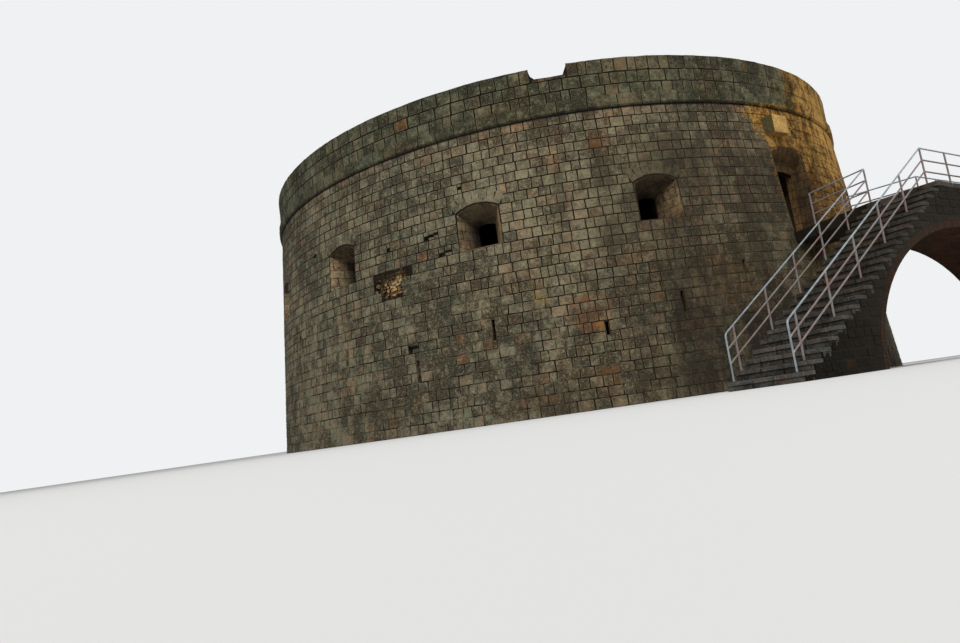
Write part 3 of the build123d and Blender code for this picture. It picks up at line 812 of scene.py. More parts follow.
def coursed_group():
    """Joints of coursed blocks on a round wall, or of paving, as a mask and a tone for each block."""
    inputs = {"Course": 0.31, "Block": 0.42, "Paving": 0.0}
    tree = group_tree("Coursed Joints", inputs, {"Joint": "Float", "Tone": "Float"})
    paving = tree["Paving"]
    place = tree.place()
    x, y, z = tree.split(place)
    upright = tree.normal()[2].sum("ABSOLUTE").ramp(0.7, 0.3)
    wander = tree.noise(place, 2.6).swing(0.12)
    level = (tree.blend(paving, z, y) + wander) / tree["Course"]
    row = level.sum("FLOOR")
    run = x.sum("ARCTAN2", y * -1.0) * 11.0 + (x * x + y * y).sum("SQRT")
    cell = (tree.blend(paving, run, x) + wander + row * 0.137) / tree["Block"]
    up, side = ((part.sum("FRACT") - 0.5).sum("ABSOLUTE") for part in (level, cell))
    joint = up.sum("MAXIMUM", side).ramp(0.45, 0.49) * tree.blend(paving, upright, 1.0)
    name = tree.node("ShaderNodeCombineXYZ", {"X": row, "Y": cell.sum("FLOOR")})
    tone = tree.node("ShaderNodeTexWhiteNoise", {"Vector": name}, noise_dimensions="3D")
    tree.end({"Joint": joint, "Tone": tone})


class Finish(Tree):
    """Material with one plain Principled shader."""

    def __init__(self, name):
        self.material = bpy.data.materials.new(name)
        self.material.use_nodes = True
        super().__init__(self.material.node_tree)
        self.shader = self.tree.nodes["Principled BSDF"]
        self.colours = bpy.context.scene.fort_colours

    def grain(self, pale, deep, tone, **others):
        """Stone grain between two colours."""
        inputs = {"Pale": pale, "Deep": deep, "Rust": self.colours.rust, "Tone": tone, **others}
        return self.group("Stone Grain", inputs)

    def weather(self, colour, soot, ochre_and_sunlight, film=None, warm=None):
        """Weather over a colour, with its painted sunlight and painted shade."""
        inputs = {
            "Color": colour, "Soot": self.colours.soot, "Film": film or self.colours.film,
            "Ochre": warm or self.colours.ochre_and_sunlight, "Soot Amount": soot, "Ochre Amount": ochre_and_sunlight,
        }
        return self.group("Tower Weather", inputs)

    def stains(self, colour, places):
        """Stains at places on the wall, each with its azimuth, height and own inputs."""
        broken = self.noise(self.place(), 3.6, 7.0, 0.8)
        for azimuth, height, inputs in places:
            inputs.update({"Color": colour, "Centre": wall_point(azimuth, height), "Broken": broken})
            colour = self.group("Stain", inputs)
        return colour

    def finish(self, colour, roughness, height, strength, distance):
        """Feed a colour, roughness and relief to the shader and return the material."""
        bump = self.node("ShaderNodeBump", {"Height": height, "Strength": strength, "Distance": distance})
        inputs = {"Base Color": colour, "Roughness": roughness, "Specular IOR Level": 0.08, "Normal": bump}
        self.fill(self.shader, inputs)
        return self.material


def lifted(colour, factor):
    """Colour made lighter or darker."""
    return tuple(min(part * factor, 1) for part in colour[:3]) + (1,)


def tower_stone(
    name, pale, deep, soot=1.0, ochre_and_sunlight=0.0, contrast=1.0, stained=False, painted_left_shade=False, rust_share=1.0
):
    """Ashlar finish: grain and tone of each stone, weathering with its painted light and shade, stains by
    place, and painted shade on faces turned to the left where asked.
    """
    tree = Finish(name)
    rust = tree.attribute("rust")
    rusty = lifted(tree.colours.rust, rust_share)
    others = {"Rust": rusty, "Rust Chance": rust, "Contrast": contrast}
    grain = tree.grain(pale, deep, tree.attribute("tone"), **others)
    colour = grain
    if stained:
        share = rust.ramp(0.35, 0.8, 0.25, 1.0)
        places = []
        for azimuth, height, reach, tall, stain, amount in STAINS:
            inputs = {"Stain": getattr(tree.colours, stain), "Reach": reach, "Tall": tall, "Amount": amount}
            inputs.update({"Share": 0.8, "Spread": 2.4} if stain == "film" else {"Share": share})
            places.append((azimuth, height, inputs))
        colour = tree.stains(colour, places)
    colour = tree.weather(colour, soot, ochre_and_sunlight)
    # Painted shade: faces turned to the left are darkened and cooled, as if in the shadow of a sun from the
    # right
    if painted_left_shade:
        left_shade_colour = tree.tint(colour, 0.17, 0.24, 0.32)
        colour = tree.mix(tree.normal()[0].ramp(-0.5, -0.9), colour, left_shade_colour)
    return tree.finish(colour, grain.out("Roughness"), grain.out("Height"), 0.9, 0.03)


def inner_stone(name, pale, deep, course, block, ochre_and_sunlight=0.0, paving=0.0, painted_recess_shade=0.0):
    """Coursed blocks drawn in the finish, for reveals, floors and rooms, with painted shade inside the
    openings where asked.
    """
    tree = Finish(name)
    joints = tree.group("Coursed Joints", {"Course": course, "Block": block, "Paving": paving})
    grain = tree.grain(pale, deep, joints.out("Tone"))
    joint = joints * 0.75
    colour = tree.mix(joint, tree.weather(grain, 0.5, ochre_and_sunlight), tree.colours.mortar)
    if painted_recess_shade:
        # Painted shade inside the openings: darker deeper into the wall, on faces not turned to the left, on
        # soffits, and on the door's right jamb
        place = tree.place()
        away = tree.vector("LENGTH", tree.vector("MULTIPLY", place, (1, 1, 0))).out("Value")
        left, _, down = tree.normal()
        recess_shade = away.ramp(12.6, 11.8, 0.0, painted_recess_shade) * left.ramp(-0.6, -0.2, 0.1, 1.0)
        recess_shade = recess_shade.sum("MAXIMUM", down.ramp(-0.3, -0.8, 0.0, painted_recess_shade * 0.75))
        jamb = tree.split(place)[0]
        jamb = jamb.ramp(0.7, 0.8) * jamb.ramp(1.0, 0.9) * left.ramp(-0.6, -0.8, 0.0, 0.62)
        colour = tree.mix(recess_shade.sum("MAXIMUM", jamb), colour, tree.colours.soot)
    return tree.finish(colour, grain.out("Roughness"), grain.out("Height") - joint * 2.5, 0.6, 0.02)


def mortar_finish(name, limed):
    """Earthy mortar behind the stones, pointed up pale where the wall is low or patched, with painted near
    black shade in the holes.
    """
    tree = Finish(name)
    colours = tree.colours
    earth = tree.grain(colours.soot, colours.mortar, 0.2, Contrast=0.8)
    lime = tree.grain(colours.pointing, colours.deep, 0.5)
    pointed = open_joints(tree, tree.place()).ramp(0.0, 1.0, limed, 0.0)
    colour = tree.weather(tree.mix(pointed, earth, lime), 1.0, 0.6, colours.deep, colours.rust)
    # Painted shade: the mortar behind each hole is darkened to near black
    places = [
        (azimuth, foot + tall / 2, {"Stain": HOLE_SHADE, "Reach": width * 0.75, "Amount": 1.0})
        for azimuth, foot, width, tall in HOLES
    ]
    return tree.finish(tree.stains(colour, places), 0.95, earth.out("Height"), 0.7, 0.02)


def steel_finish(name, stair):
    """Grey paint on the hand rails and thin worn paint over primer on the lower rails and posts."""
    tree = Finish(name)
    colours = tree.colours
    at = stair_frame(stair)
    place = tree.place()
    x, y, z = tree.split(place)
    fade = tree.noise(place, 5.0, 5.0, 0.65)
    spots = tree.noise(place, 42.0, 5.0, 0.7)
    nosing = (x - at["foot"]) * (at["riser"] / stair.going) + at["riser"]
    height = z - nosing.sum("MINIMUM", at["floor"] + 0.04)
    painted = height.ramp(0.9, 0.93).sum("MAXIMUM", x.ramp(at["foot"] + 0.22, at["foot"] + 0.19))
    dull = tree.tint(colours.steel, 0.66, 0.66, 0.64)
    paint = tree.mix(fade.ramp(0.35, 0.65), dull, colours.steel)
    primer = tree.mix(fade.ramp(0.4, 0.62, 0.35, 1.0), dull, colours.primer)
    worn = spots.ramp(0.58, 0.7) * fade.ramp(0.45, 0.6)
    colour = tree.mix(worn, tree.mix(painted, primer, paint), WORN_STEEL)
    tree.fill(tree.shader, {"Metallic": painted * worn.ramp(0.0, 0.5, 0.35, 0.05)})
    return tree.finish(colour, spots.ramp(0.4, 0.7, 0.38, 0.7), spots, 0.15, 0.002)


finishes = {}
trees = {}
stone_sets = {}


def make_finishes(scene):
    """Build every material once, each for the pieces that its key names."""
    colours = scene.fort_colours
    pale, deep = colours.pale, colours.deep
    moss, rubble, brick, tread = colours.moss, colours.rubble, colours.brick, colours.tread

    def shades(colour, light, dark):
        return lifted(colour, light), lifted(colour, dark)

    finishes["ashlar"] = tower_stone("weathered_ashlar", pale, deep, 1.0, 1.0, stained=True)
    finishes["string"] = tower_stone("string_ashlar", *shades(moss, 0.82, 0.22), 0.9, 0.9, stained=True)
    finishes["parapet"] = tower_stone("parapet_ashlar", *shades(moss, 0.88, 0.2), 1.2, 0.9, stained=True)
    finishes["patch"] = tower_stone("bare_rubble", colours.bare, lifted(colours.rust, 0.1), 0.2, 0.0, 1.3)
    finishes["tablet"] = tower_stone(
        "tablet_limestone", colours.tablet, colours.tablet_deep, 0.2, 0.0, 0.9, painted_left_shade=True
    )
    finishes["mortar"] = mortar_finish("joint_mortar", 1.0)
    finishes["bedding"] = mortar_finish("stair_bedding", 0.0)
    finishes["inner"] = inner_stone(
        "reveal_blocks", *shades(colours.reveal, 3.2, 0.9), 0.29, 0.36, 0.5, painted_recess_shade=0.945
    )
    # The stair's rubble keeps its dark colour as painted shade of the flank
    finishes["rubble"] = tower_stone("stair_rubble", *shades(rubble, 1.4, 0.4), 0.8, rust_share=0.25)
    finishes["brick"] = tower_stone("dark_brick", *shades(brick, 1.4, 0.45), 0.7)
    finishes["tread"] = tower_stone("worn_steps", *shades(tread, 1.15, 0.55), 0.5, 0.0, 0.8)
    # The risers take the tread colour darkened: painted shade under the step nosings
    finishes["riser"] = tower_stone("step_risers", *shades(tread, 0.85, 0.35), 0.7)
    finishes["slab"] = inner_stone("bridge_slab_stone", *shades(colours.slab, 0.9, 0.3), 0.36, 0.9)
    for key, light, dark in (("room", 0.8, 0.9), ("roof", 1.0, 1.1)):
        shade = lifted(pale, light), lifted(deep, dark)
        finishes[key] = inner_stone(key + "_paving", *shade, 0.6, 0.62, paving=1.0)
    finishes["steel"] = steel_finish("painted_tube", scene.fort_stair)


def prepare(scene):
    """Make the finishes, stone shapes and node trees that all pieces share."""
    for make_group in (grain_group, weather_group, stain_group, coursed_group):
        make_group()
    make_finishes(scene)
    trees["round"] = laying_tree("Lay Stones Round A Tower", True)
    trees["flat"] = laying_tree("Lay Stones On A Plane", False)
    seed = scene.fort_stone.seed
    stone_sets["ashlar"] = stone_collection("ashlar", dressed_stone, 8, seed)
    stone_sets["rubble"] = stone_collection("rubble", dressed_stone, 6, seed + 1, edge=0.44, chip=0.12)
    stone_sets["block"] = stone_collection("block", worn_block, 6, seed + 2)
    stone_sets["string"] = stone_collection("string", string_stone, 4, seed + 3)


def clear_helpers():
    """Remove the stone shapes that were only there to be copied."""
    for variants in stone_sets.values():
        for stone in list(variants.objects):
            bpy.data.objects.remove(stone)
        bpy.data.collections.remove(variants)
    stone_sets.clear()


# The tower

WALL_BAYS = [f"wall_bay_{number:02d}" for number in range(2, 15)]
BAY_PITCH = math.radians(25.2)
REST_PITCH = (FULL_TURN - 4 * BAY_PITCH) / 10
BAY_AZIMUTHS = [-BAY_PITCH * k for k in range(5)] + [-4 * BAY_PITCH - REST_PITCH * k for k in range(1, 10)]
# Half width, sill, springing, rise and ring of the arched openings
EMBRASURE = (0.7, 5.36, 6.61, 0.2, 0.43)
DOOR_RECESS = (0.86, 4.67, 7.62, 0.12, 0.45)
DOOR_HEAD = 6.9
# Half width of a loophole, how far it stands beside its embrasure, and the foot and top of both kinds
SLIT_HALF = 0.058
LOOPHOLE_SHIFT = math.radians(0.3)
LOOPHOLE = (2.46, 3.09)
LOW_LOOPHOLE = (1.8, 2.35)
# Azimuth in degrees, sill and height
LOW_LOOPHOLES = ((-61.75, 1.62, 0.65), (-35.45, 2.09, 0.39), (-14.8, 3.41, 0.44), (-9.65, 3.13, 0.27))
# Azimuth in degrees, half width, foot and top
NICHE = (3.1, 0.07, 8.14, 8.42)
# Azimuth in degrees, foot, width and height, and the outline in shares of the last two
BARE_PATCH = (-64.85, 4.41, 1.5, 0.94)
BARE_SHAPE = (
    (-0.42, 1.0), (0.45, 0.98), (0.5, 0.66), (0.21, 0.65), (0.17, 0.45), (0.23, 0.25), (0.18, 0.06),
    (0.04, 0.0), (-0.28, 0.27), (-0.48, 0.39), (-0.5, 0.63),
)
POCKET_HALF = 0.6
POCKET_DEPTH = 0.18
# Azimuth in degrees, foot, width and height of the holes that single stones have left
HOLES = (
    (-58.6, 6.0, 0.17, 0.14), (-57.75, 6.07, 0.2, 0.09), (-57.0, 6.12, 0.15, 0.07), (-62.7, 2.58, 0.16, 0.19),
    (-61.9, 2.66, 0.22, 0.1), (-83.3, 6.84, 0.17, 0.13), (-56.4, 5.4, 0.2, 0.08), (-55.3, 5.46, 0.24, 0.06),
    (-65.3, 6.02, 0.13, 0.1), (-52.6, 7.38, 0.13, 0.09), (-90.5, 4.1, 0.17, 0.13), (-118.0, 6.4, 0.24, 0.14),
    (-141.0, 3.3, 0.2, 0.13), (-170.0, 7.2, 0.26, 0.14), (158.0, 4.2, 0.22, 0.15), (124.0, 6.6, 0.26, 0.12),
    (88.0, 3.0, 0.22, 0.14), (-67.9, 4.8, 0.3, 0.3),
)
# Azimuth in degrees, width and depth of the broken place in the parapet, and its outline in shares of them
NOTCH = (-37.5, 1.25, 0.37)
NOTCH_SHAPE = ((-0.44, 0.8), (0, 1), (0.38, 0.95))
PARAPET_COURSES = (0, 0.36, 0.76, 1.24)


def nearest_turn(azimuth):
    """The same azimuth within half a turn of the door."""
    return (azimuth + math.pi) % FULL_TURN - math.pi


def wall_keep_outs(sizes):
    """Openings and pieces that the wall's courses go round."""
    radius = sizes.top_radius
    found = []

    def box(middle, half, foot, top):
        found.append(box_extent(middle - half, middle + half, foot, top))

    for index, azimuth in enumerate(BAY_AZIMUTHS[1:], start=1):
        centre = nearest_turn(azimuth) * radius
        found.append(arch_extent(centre, EMBRASURE))
        box(centre + LOOPHOLE_SHIFT * radius, SLIT_HALF, *LOOPHOLE)
        if index >= 4:
            box(nearest_turn(azimuth + REST_PITCH / 3) * radius, SLIT_HALF, *LOW_LOOPHOLE)
    for azimuth, sill, height in LOW_LOOPHOLES:
        box(math.radians(azimuth) * radius, SLIT_HALF, sill, sill + height)
    found.append(arch_extent(0, DOOR_RECESS))
    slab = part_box("bridge_slab")
    box(0, bpy.context.scene.fort_stair.bridge_half + SLACK, slab[0].z - SLACK, slab[1].z)
    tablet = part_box("entrance_tablet")
    sides = tablet[0].x - SLACK, tablet[1].x + SLACK
    found.append(box_extent(*sides, tablet[0].z - SLACK, tablet[1].z + SLACK))
    box(math.radians(NICHE[0]) * radius, *NICHE[1:])
    azimuth, foot, width, height = BARE_PATCH
    middle = math.radians(azimuth) * radius
    found.append(shape_extent([(middle + a * width, foot + b * height) for a, b in BARE_SHAPE]))
    for azimuth, foot, width, height in HOLES:
        box(math.radians(azimuth) * radius, width / 2, foot, foot + height)
    return found


def wall_panel(sizes, stones):
    """Every facing stone of the battered wall, all the way round."""
    panel = Panel(stones.seed)
    half_turn = math.pi * sizes.top_radius
    keep_outs = wall_keep_outs(sizes)
    fixed = (0.0, EMBRASURE[1], EMBRASURE[2], sizes.string_height)
    levels = course_levels(fixed, stones.course_height, panel.chance)
    for low, high in zip(levels, levels[1:]):
        lay_course(panel, half_turn, low, high, keep_outs, stones, stones.stone_width, 0.42)
    for index, azimuth in enumerate(BAY_AZIMUTHS):
        opening, count, tone = (EMBRASURE, 7, 0.5) if index else (DOOR_RECESS, 9, 0.95)
        centre = nearest_turn(azimuth) * sizes.top_radius
        lay_voussoirs(panel, centre, opening, count, stones.joint * 0.7, stones.relief, tone)
    return panel


def drawn_to(point, radius, height):
    """A point moved to another radius and height."""
    factor = radius / math.hypot(point.x, point.y)
    return Vector((point.x * factor, point.y * factor, height))


def wall_set_back(sizes, recess):
    """Rule that moves points of the battered face in by the recess, and by less of it low down."""

    def rule(point):
        radius = math.hypot(point.x, point.y)
        if abs(radius - face_radius(sizes, point.z)) > ON_FACE:
            return None
        share = 0.66 + 0.34 * point.z / sizes.string_height
        return drawn_to(point, radius - recess * share, point.z)

    return rule


def bake_round(panel, name, sizes, stones, keep, finish="ashlar", stone_set="ashlar", **changes):
    """Bake part of a panel round the tower."""
    values = {
        "Stones": stone_sets[stone_set], "Wobble": stones.wobble, "Pitting": stones.pitting,
        "Seed": stones.seed, "Material": finishes[finish], "Radius": sizes.top_radius,
        "Batter": sizes.batter, "Level": sizes.string_height, **changes,
    }
    return bake(panel.points(name + "_points", keep), trees["round"], values, name)


def bay_span(index):
    """Azimuth of a bay's middle, and how far its stones reach to either side."""
    before = BAY_AZIMUTHS[index - 1] if index else BAY_AZIMUTHS[-1] + FULL_TURN
    after = BAY_AZIMUTHS[index + 1] if index + 1 < len(BAY_AZIMUTHS) else BAY_AZIMUTHS[0] - FULL_TURN
    middle = BAY_AZIMUTHS[index]
    return nearest_turn(middle), (middle - after) / 2, (before - middle) / 2


def in_bay(index, radius):
    """Test of whether a stone's place on the unrolled wall is in a bay."""
    middle, below, above = bay_span(index)
    return lambda place: -below <= nearest_turn(place[0] / radius - middle) < above


def in_quarter(number, radius, facing=1):
    """Test of whether a place on an unrolled ring is in a quarter, counted from the entrance bay."""
    start = -bay_span(0)[1]

    def test(place):
        turn = (place[0] * facing / radius - start) % FULL_TURN
        return (number - 1) * FULL_TURN / 4 <= turn < number * FULL_TURN / 4

    return test


class FORT_OT_wall_bays(bpy.types.Operator):
    """Lay the ashlar of the thirteen wall bays beside the entrance"""

    bl_idname = "fort.wall_bays"
    bl_label = "Wall Bays"

    def execute(self, context):
        sizes, stones = context.scene.fort_tower, context.scene.fort_stone
        panel = wall_panel(sizes, stones)
        patch = patch_panel(sizes, stones)
        rule = wall_set_back(sizes, stones.relief - BEDDED)
        rough = {"Wobble": 0.03, "Pitting": 0.03}
        for index, node in enumerate(WALL_BAYS, start=1):
            inside = in_bay(index, sizes.top_radius)
            parts = [core_copy(node, rule, "inner", "mortar")]
            parts.append(bake_round(panel, node + "_ashlar", sizes, stones, inside))
            if any(inside(stone[0]) for stone in patch.stones):
                name = node + "_rubble"
                parts.append(bake_round(patch, name, sizes, stones, inside, "patch", "rubble", **rough))
            settle(node + "_masonry", parts, "wall_ashlar", node)
        return {"FINISHED"}


def patch_panel(sizes, stones):
    """Rough rubble in the bottom of the pocket where facing stones have fallen out."""
    azimuth, foot, width, height = BARE_PATCH
    panel = Panel(stones.seed + 20)
    chance = panel.chance
    middle = math.radians(azimuth) * sizes.top_radius
    outline = shape_extent([(a * width, foot + b * height) for a, b in BARE_SHAPE])
    back = face_radius(sizes, foot + height) - POCKET_DEPTH
    low = foot
    while low < foot + height - 0.2:
        high = low + chance.uniform(0.07, 0.17)
        found = outline(low, min(high, foot + height))
        place = found[0] if found else width
        while found and place < found[1]:
            wide = chance.uniform(0.07, 0.24)
            up = (low + high) / 2 + chance.uniform(-0.03, 0.03)
            flush = back - face_radius(sizes, up)
            tall = (high - low) * chance.uniform(0.6, 1.1)
            out = flush + chance.uniform(0.0, 0.13)
            if place + wide / 2 < -POCKET_HALF:
                out = chance.uniform(-0.025, 0.0)
            panel.add(middle + place + wide / 2, up, wide, tall, 0.09, out, chance.uniform(-0.5, 0.5))
            place += wide * chance.uniform(0.85, 1.3)
        low = high
    return panel


class FORT_OT_entrance(bpy.types.Operator):
    """Lay the ashlar round the door and the stones of its recess"""

    bl_idname = "fort.entrance"
    bl_label = "Entrance"

    def execute(self, context):
        sizes, stones = context.scene.fort_tower, context.scene.fort_stone
        panel = wall_panel(sizes, stones)
        rule = wall_set_back(sizes, stones.relief - BEDDED)
        bay = in_bay(0, sizes.top_radius)
        sill = DOOR_RECESS[1]
        everywhere = math.inf
        for part, foot, top, left, right in (
            ("base", -everywhere, sill, -everywhere, everywhere),
            ("left", sill, DOOR_HEAD, -everywhere, 0),
            ("right", sill, DOOR_HEAD, 0, everywhere),
            ("head", DOOR_HEAD, everywhere, -everywhere, everywhere),
        ):
            node = "entrance_" + part
            core = core_copy(node, rule, "inner", "mortar")
            laid = bake_round(
                panel, node + "_ashlar", sizes, stones,
                lambda place: bay(place) and foot <= place[1] < top and left <= place[0] < right,
            )
            settle(node + "_masonry", [core, laid], "wall_ashlar", node)
        return {"FINISHED"}


class FORT_OT_string_course(bpy.types.Operator):
    """Set the long smooth stones of the string course"""

    bl_idname = "fort.string_course"
    bl_label = "String Course"

    def execute(self, context):
        sizes, stones = context.scene.fort_tower, context.scene.fort_stone
        ring = sizes.string_radius
        half_turn = math.pi * ring
        foot = sizes.string_height
        panel = Panel(stones.seed + 5)
        top = foot + sizes.string_depth
        panel.row(-half_turn, half_turn, foot, top, 0.68, 0.013, 1.0, -0.003, 0.4, 0.003)

        def rule(point):
            radius = math.hypot(point.x, point.y)
            return None if radius < sizes.top_radius - 0.1 else drawn_to(point, radius - 0.025, point.z)

        changes = {"Radius": ring, "Batter": 0.0, "Wobble": 0.004, "Pitting": 0.004}
        for number in QUARTERS:
            node = f"string_course_{number}"
            core = core_copy(node, rule, "mortar", "mortar")
            inside = in_quarter(number, ring)
            laid = bake_round(panel, node + "_stones", sizes, stones, inside, "string", "string", **changes)
            settle(node + "_ashlar", [core, laid], "string_stone", node)
        return {"FINISHED"}


class FORT_OT_parapet(bpy.types.Operator):
    """Lay both faces and the top of the parapet round its broken place"""

    bl_idname = "fort.parapet"
    bl_label = "Parapet"

    def execute(self, context):
        sizes, stones = context.scene.fort_tower, context.scene.fort_stone
        outer = sizes.parapet_radius
        inner = outer - sizes.parapet_thickness
        foot = sizes.string_height + sizes.string_depth
        top = foot + sizes.parapet_height
        azimuth, width, depth = NOTCH
        panels = []
        for radius, facing in ((outer, 1), (inner, -1)):
            panel = Panel(stones.seed + 6 + facing)
            middle = math.radians(azimuth) * radius * facing
            outline = [(middle + a * width, top - b * depth) for a, b in NOTCH_SHAPE]
            ends = [(middle + side * width / 2, top + 0.1) for side in (-1, 1)]
            notch = shape_extent([ends[0], *outline, ends[1]])
            levels = [foot + rise for rise in PARAPET_COURSES]
            for low, high in zip(levels, levels[1:]):
                keep_outs = [notch] if high > top - depth else []
                lay_course(panel, math.pi * radius, low, high, keep_outs, stones, 0.44)
            half = width * 0.42
            bed = top - 0.48, top - depth - SLACK
            panel.row(middle - half, middle + half, *bed, 0.2, 0.012, stones.relief)
            panels.append(panel)
        coping = Panel(stones.seed + 9)
        gap = width / 2 + 0.03
        middle = math.radians(azimuth) * outer
        half_turn = math.pi * outer
        for near, far in ((0.0, 0.6), (0.6, sizes.parapet_thickness)):
            for start, end in ((-half_turn, middle - gap), (middle + gap, half_turn)):
                coping.row(start, end, near, far, 0.55, 0.01, stones.relief, uneven=0.008)
        recess = stones.relief - BEDDED

        def rule(point):
            radius = math.hypot(point.x, point.y)
            moved = radius
            height = point.z
            if abs(radius - outer) < ON_FACE:
                moved = radius - recess
            elif abs(radius - inner) < ON_FACE:
                moved = radius + recess
            if abs(height - top) < ON_FACE:
                height -= recess
            if moved == radius and height == point.z:
                return None
            return drawn_to(point, moved, height)

        rings = (
            ("_outer", panels[0], 1, {"Radius": outer}),
            ("_inner", panels[1], -1, {"Radius": inner, "Facing": -1.0}),
            ("_coping", coping, 1, {"Radius": outer, "Level": top, "Lying": 1.0}),
        )
        for number in QUARTERS:
            node = f"parapet_{number}"
            parts = [core_copy(node, rule, "patch", "mortar")]
            for end, panel, facing, changes in rings:
                inside = in_quarter(number, changes["Radius"], facing)
                name = node + end
                parts.append(
                    bake_round(panel, name, sizes, stones, inside, "parapet", Batter=0.0, **changes)
                )
            settle(node + "_masonry", parts, "parapet_stone", node)
        return {"FINISHED"}


def assign(node, finish):
    """Give a CAD node one finish."""
    slots = frame["nodes"][node].material_slots
    if not slots:
        frame["nodes"][node].data.materials.append(finishes[finish])
    for slot in frame["nodes"][node].material_slots:
        slot.link = "OBJECT"
        slot.material = finishes[finish]


class FORT_OT_floors(bpy.types.Operator):
    """Finish the floors, the roof and the piers"""

    bl_idname = "fort.floors"
    bl_label = "Floors, Roof And Piers"

    def execute(self, context):
        for node in ("ground_floor", "main_floor"):
            assign(node, "room")
        assign("roof_terrace", "roof")
        for node in ("lower_pier", "upper_pier"):
            assign(node, "inner")
        return {"FINISHED"}


# The stair

# Turns that stand a panel up to face along an axis
UPRIGHT = math.pi / 2
OUTWARD = {
    "-Y": (UPRIGHT, 0, 0), "+Y": (UPRIGHT, 0, math.pi), "+X": (UPRIGHT, 0, math.pi / 2), "+Z": (0, 0, 0),
}
# Recess, joint and relief of the rubble and of the arch's bricks
RUBBLE_RECESS = 0.021
RUBBLE_JOINT = 0.012
RUBBLE_RELIEF = 0.024
BRICK_RECESS = 0.012
SLAB_JOINT = 0.008
# How much lower than its CAD node a slab lies, and how much thinner it is
SLAB_PLAY = 0.002


def bake_flat(
    panel, name, stones, finish, stone_set, wobble, pitting, heading="+Z", place=(0, 0, 0), keep=None
):
    """Bake a panel on a plane that faces along one axis."""
    values = {
        "Stones": stone_sets[stone_set], "Wobble": wobble, "Pitting": pitting, "Seed": stones.seed,
        "Material": finishes[finish], "Place": place, "Heading": OUTWARD[heading],
    }
    return bake(panel.points(name + "_points", keep), trees["flat"], values, name)


def stair_frame(stair):
    """Places and levels of the stair that its stones share."""
    low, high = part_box("stair_treads")
    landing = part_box("landing_slab")
    foot = low.x + stair.tread_nosing
    floor_level = landing[1].z
    return {
        "foot": foot,
        "inner": high.y,
        "outer": low.y,
        "riser": floor_level / stair.riser_count,
        "floor": floor_level,
        "landing_bed": landing[0].z,
        "end": landing[1].x,
        "top_nosing": foot + (stair.riser_count - 1) * stair.going,
    }


def flank_moved(point, at, recess):
    """A point of the stair, moved in where it is on one of the two flanks."""
    moved = point.copy()
    if abs(point.y - at["outer"]) < ON_FACE:
        moved.y += recess
    if abs(point.y - at["inner"]) < ON_FACE:
        moved.y -= recess
    return moved


def flank_panel(stair, at, seed, sign):
    """Rubble courses of one flank, cut by the steps above and the arch below."""
    panel = Panel(seed)
    lines = [0.0] + [k * at["riser"] - stair.tread_thickness for k in range(1, stair.riser_count)]
    lines.append(at["landing_bed"])
    outer_span = stair.arch_half_span + stair.arch_ring
    outer_rise = stair.arch_height + stair.arch_ring
    for k, (low, high) in enumerate(zip(lines, lines[1:])):
        start = at["foot"] + k * stair.going
        stretches = [(start, at["end"])]
        if low < outer_rise:
            level = min(low / outer_rise, 1)
            half = outer_span * math.sqrt(1 - level * level) + 0.01
            stretches = [(start, stair.arch_centre - half), (stair.arch_centre + half, at["end"])]
        for begin, end in stretches:
            if end - begin > 0.1:
                ends = sorted((begin * sign, end * sign))
                panel.row(*ends, low, high, 0.33, RUBBLE_JOINT, RUBBLE_RELIEF, uneven=0.006)
    return panel


class FORT_OT_stair_masonry(bpy.types.Operator):
    """Lay the rubble of the stair's base, spandrels and end pier"""

    bl_idname = "fort.stair_masonry"
    bl_label = "Stair Masonry"

    def execute(self, context):
        stair, stones = context.scene.fort_stair, context.scene.fort_stone
        at = stair_frame(stair)
        arch_left = stair.arch_centre - stair.arch_half_span - stair.arch_ring
        arch_right = stair.arch_centre + stair.arch_half_span + stair.arch_ring

        def rule(point):
            moved = flank_moved(point, at, RUBBLE_RECESS)
            if abs(point.x - at["end"]) < ON_FACE:
                moved.x -= RUBBLE_RECESS
            step = (point.x - at["foot"]) / stair.going
            if abs(step - round(step)) * stair.going < ON_FACE / 2 and point.x < at["top_nosing"] + 0.01:
                moved.x += RUBBLE_RECESS
            return None if moved == point else moved

        outer = flank_panel(stair, at, stones.seed + 11, 1)
        inner = flank_panel(stair, at, stones.seed + 12, -1)
        ends = Panel(stones.seed + 14)
        level = 0.0
        while level < at["landing_bed"] - 0.1:
            top = min(level + 0.24, at["landing_bed"])
            ends.row(
                at["outer"], at["inner"], level, top, 0.4, RUBBLE_JOINT, RUBBLE_RELIEF, uneven=0.006
            )
            level = top
        for node, left, right in (
            ("stair_base", at["foot"] - 1, arch_left),
            ("stair_spandrels", arch_left, arch_right),
            ("end_pier", arch_right, at["end"] + 1),
        ):
            sides = [
                (outer, "_outer", "-Y", (0, at["outer"], 0), lambda p: left <= p[0] < right),
                (inner, "_inner", "+Y", (0, at["inner"], 0), lambda p: left <= -p[0] < right),
            ]
            if node == "end_pier":
                sides.append((ends, "_end", "+X", (at["end"], 0, 0), None))
            parts = [core_copy(node, rule, "bedding", "bedding")]
            for panel, side, *where in sides:
                parts.append(bake_flat(panel, node + side, stones, "rubble", "rubble", 0.014, 0.02, *where))
            settle(node + "_masonry", parts, "stair_rubble", node)
        return {"FINISHED"}


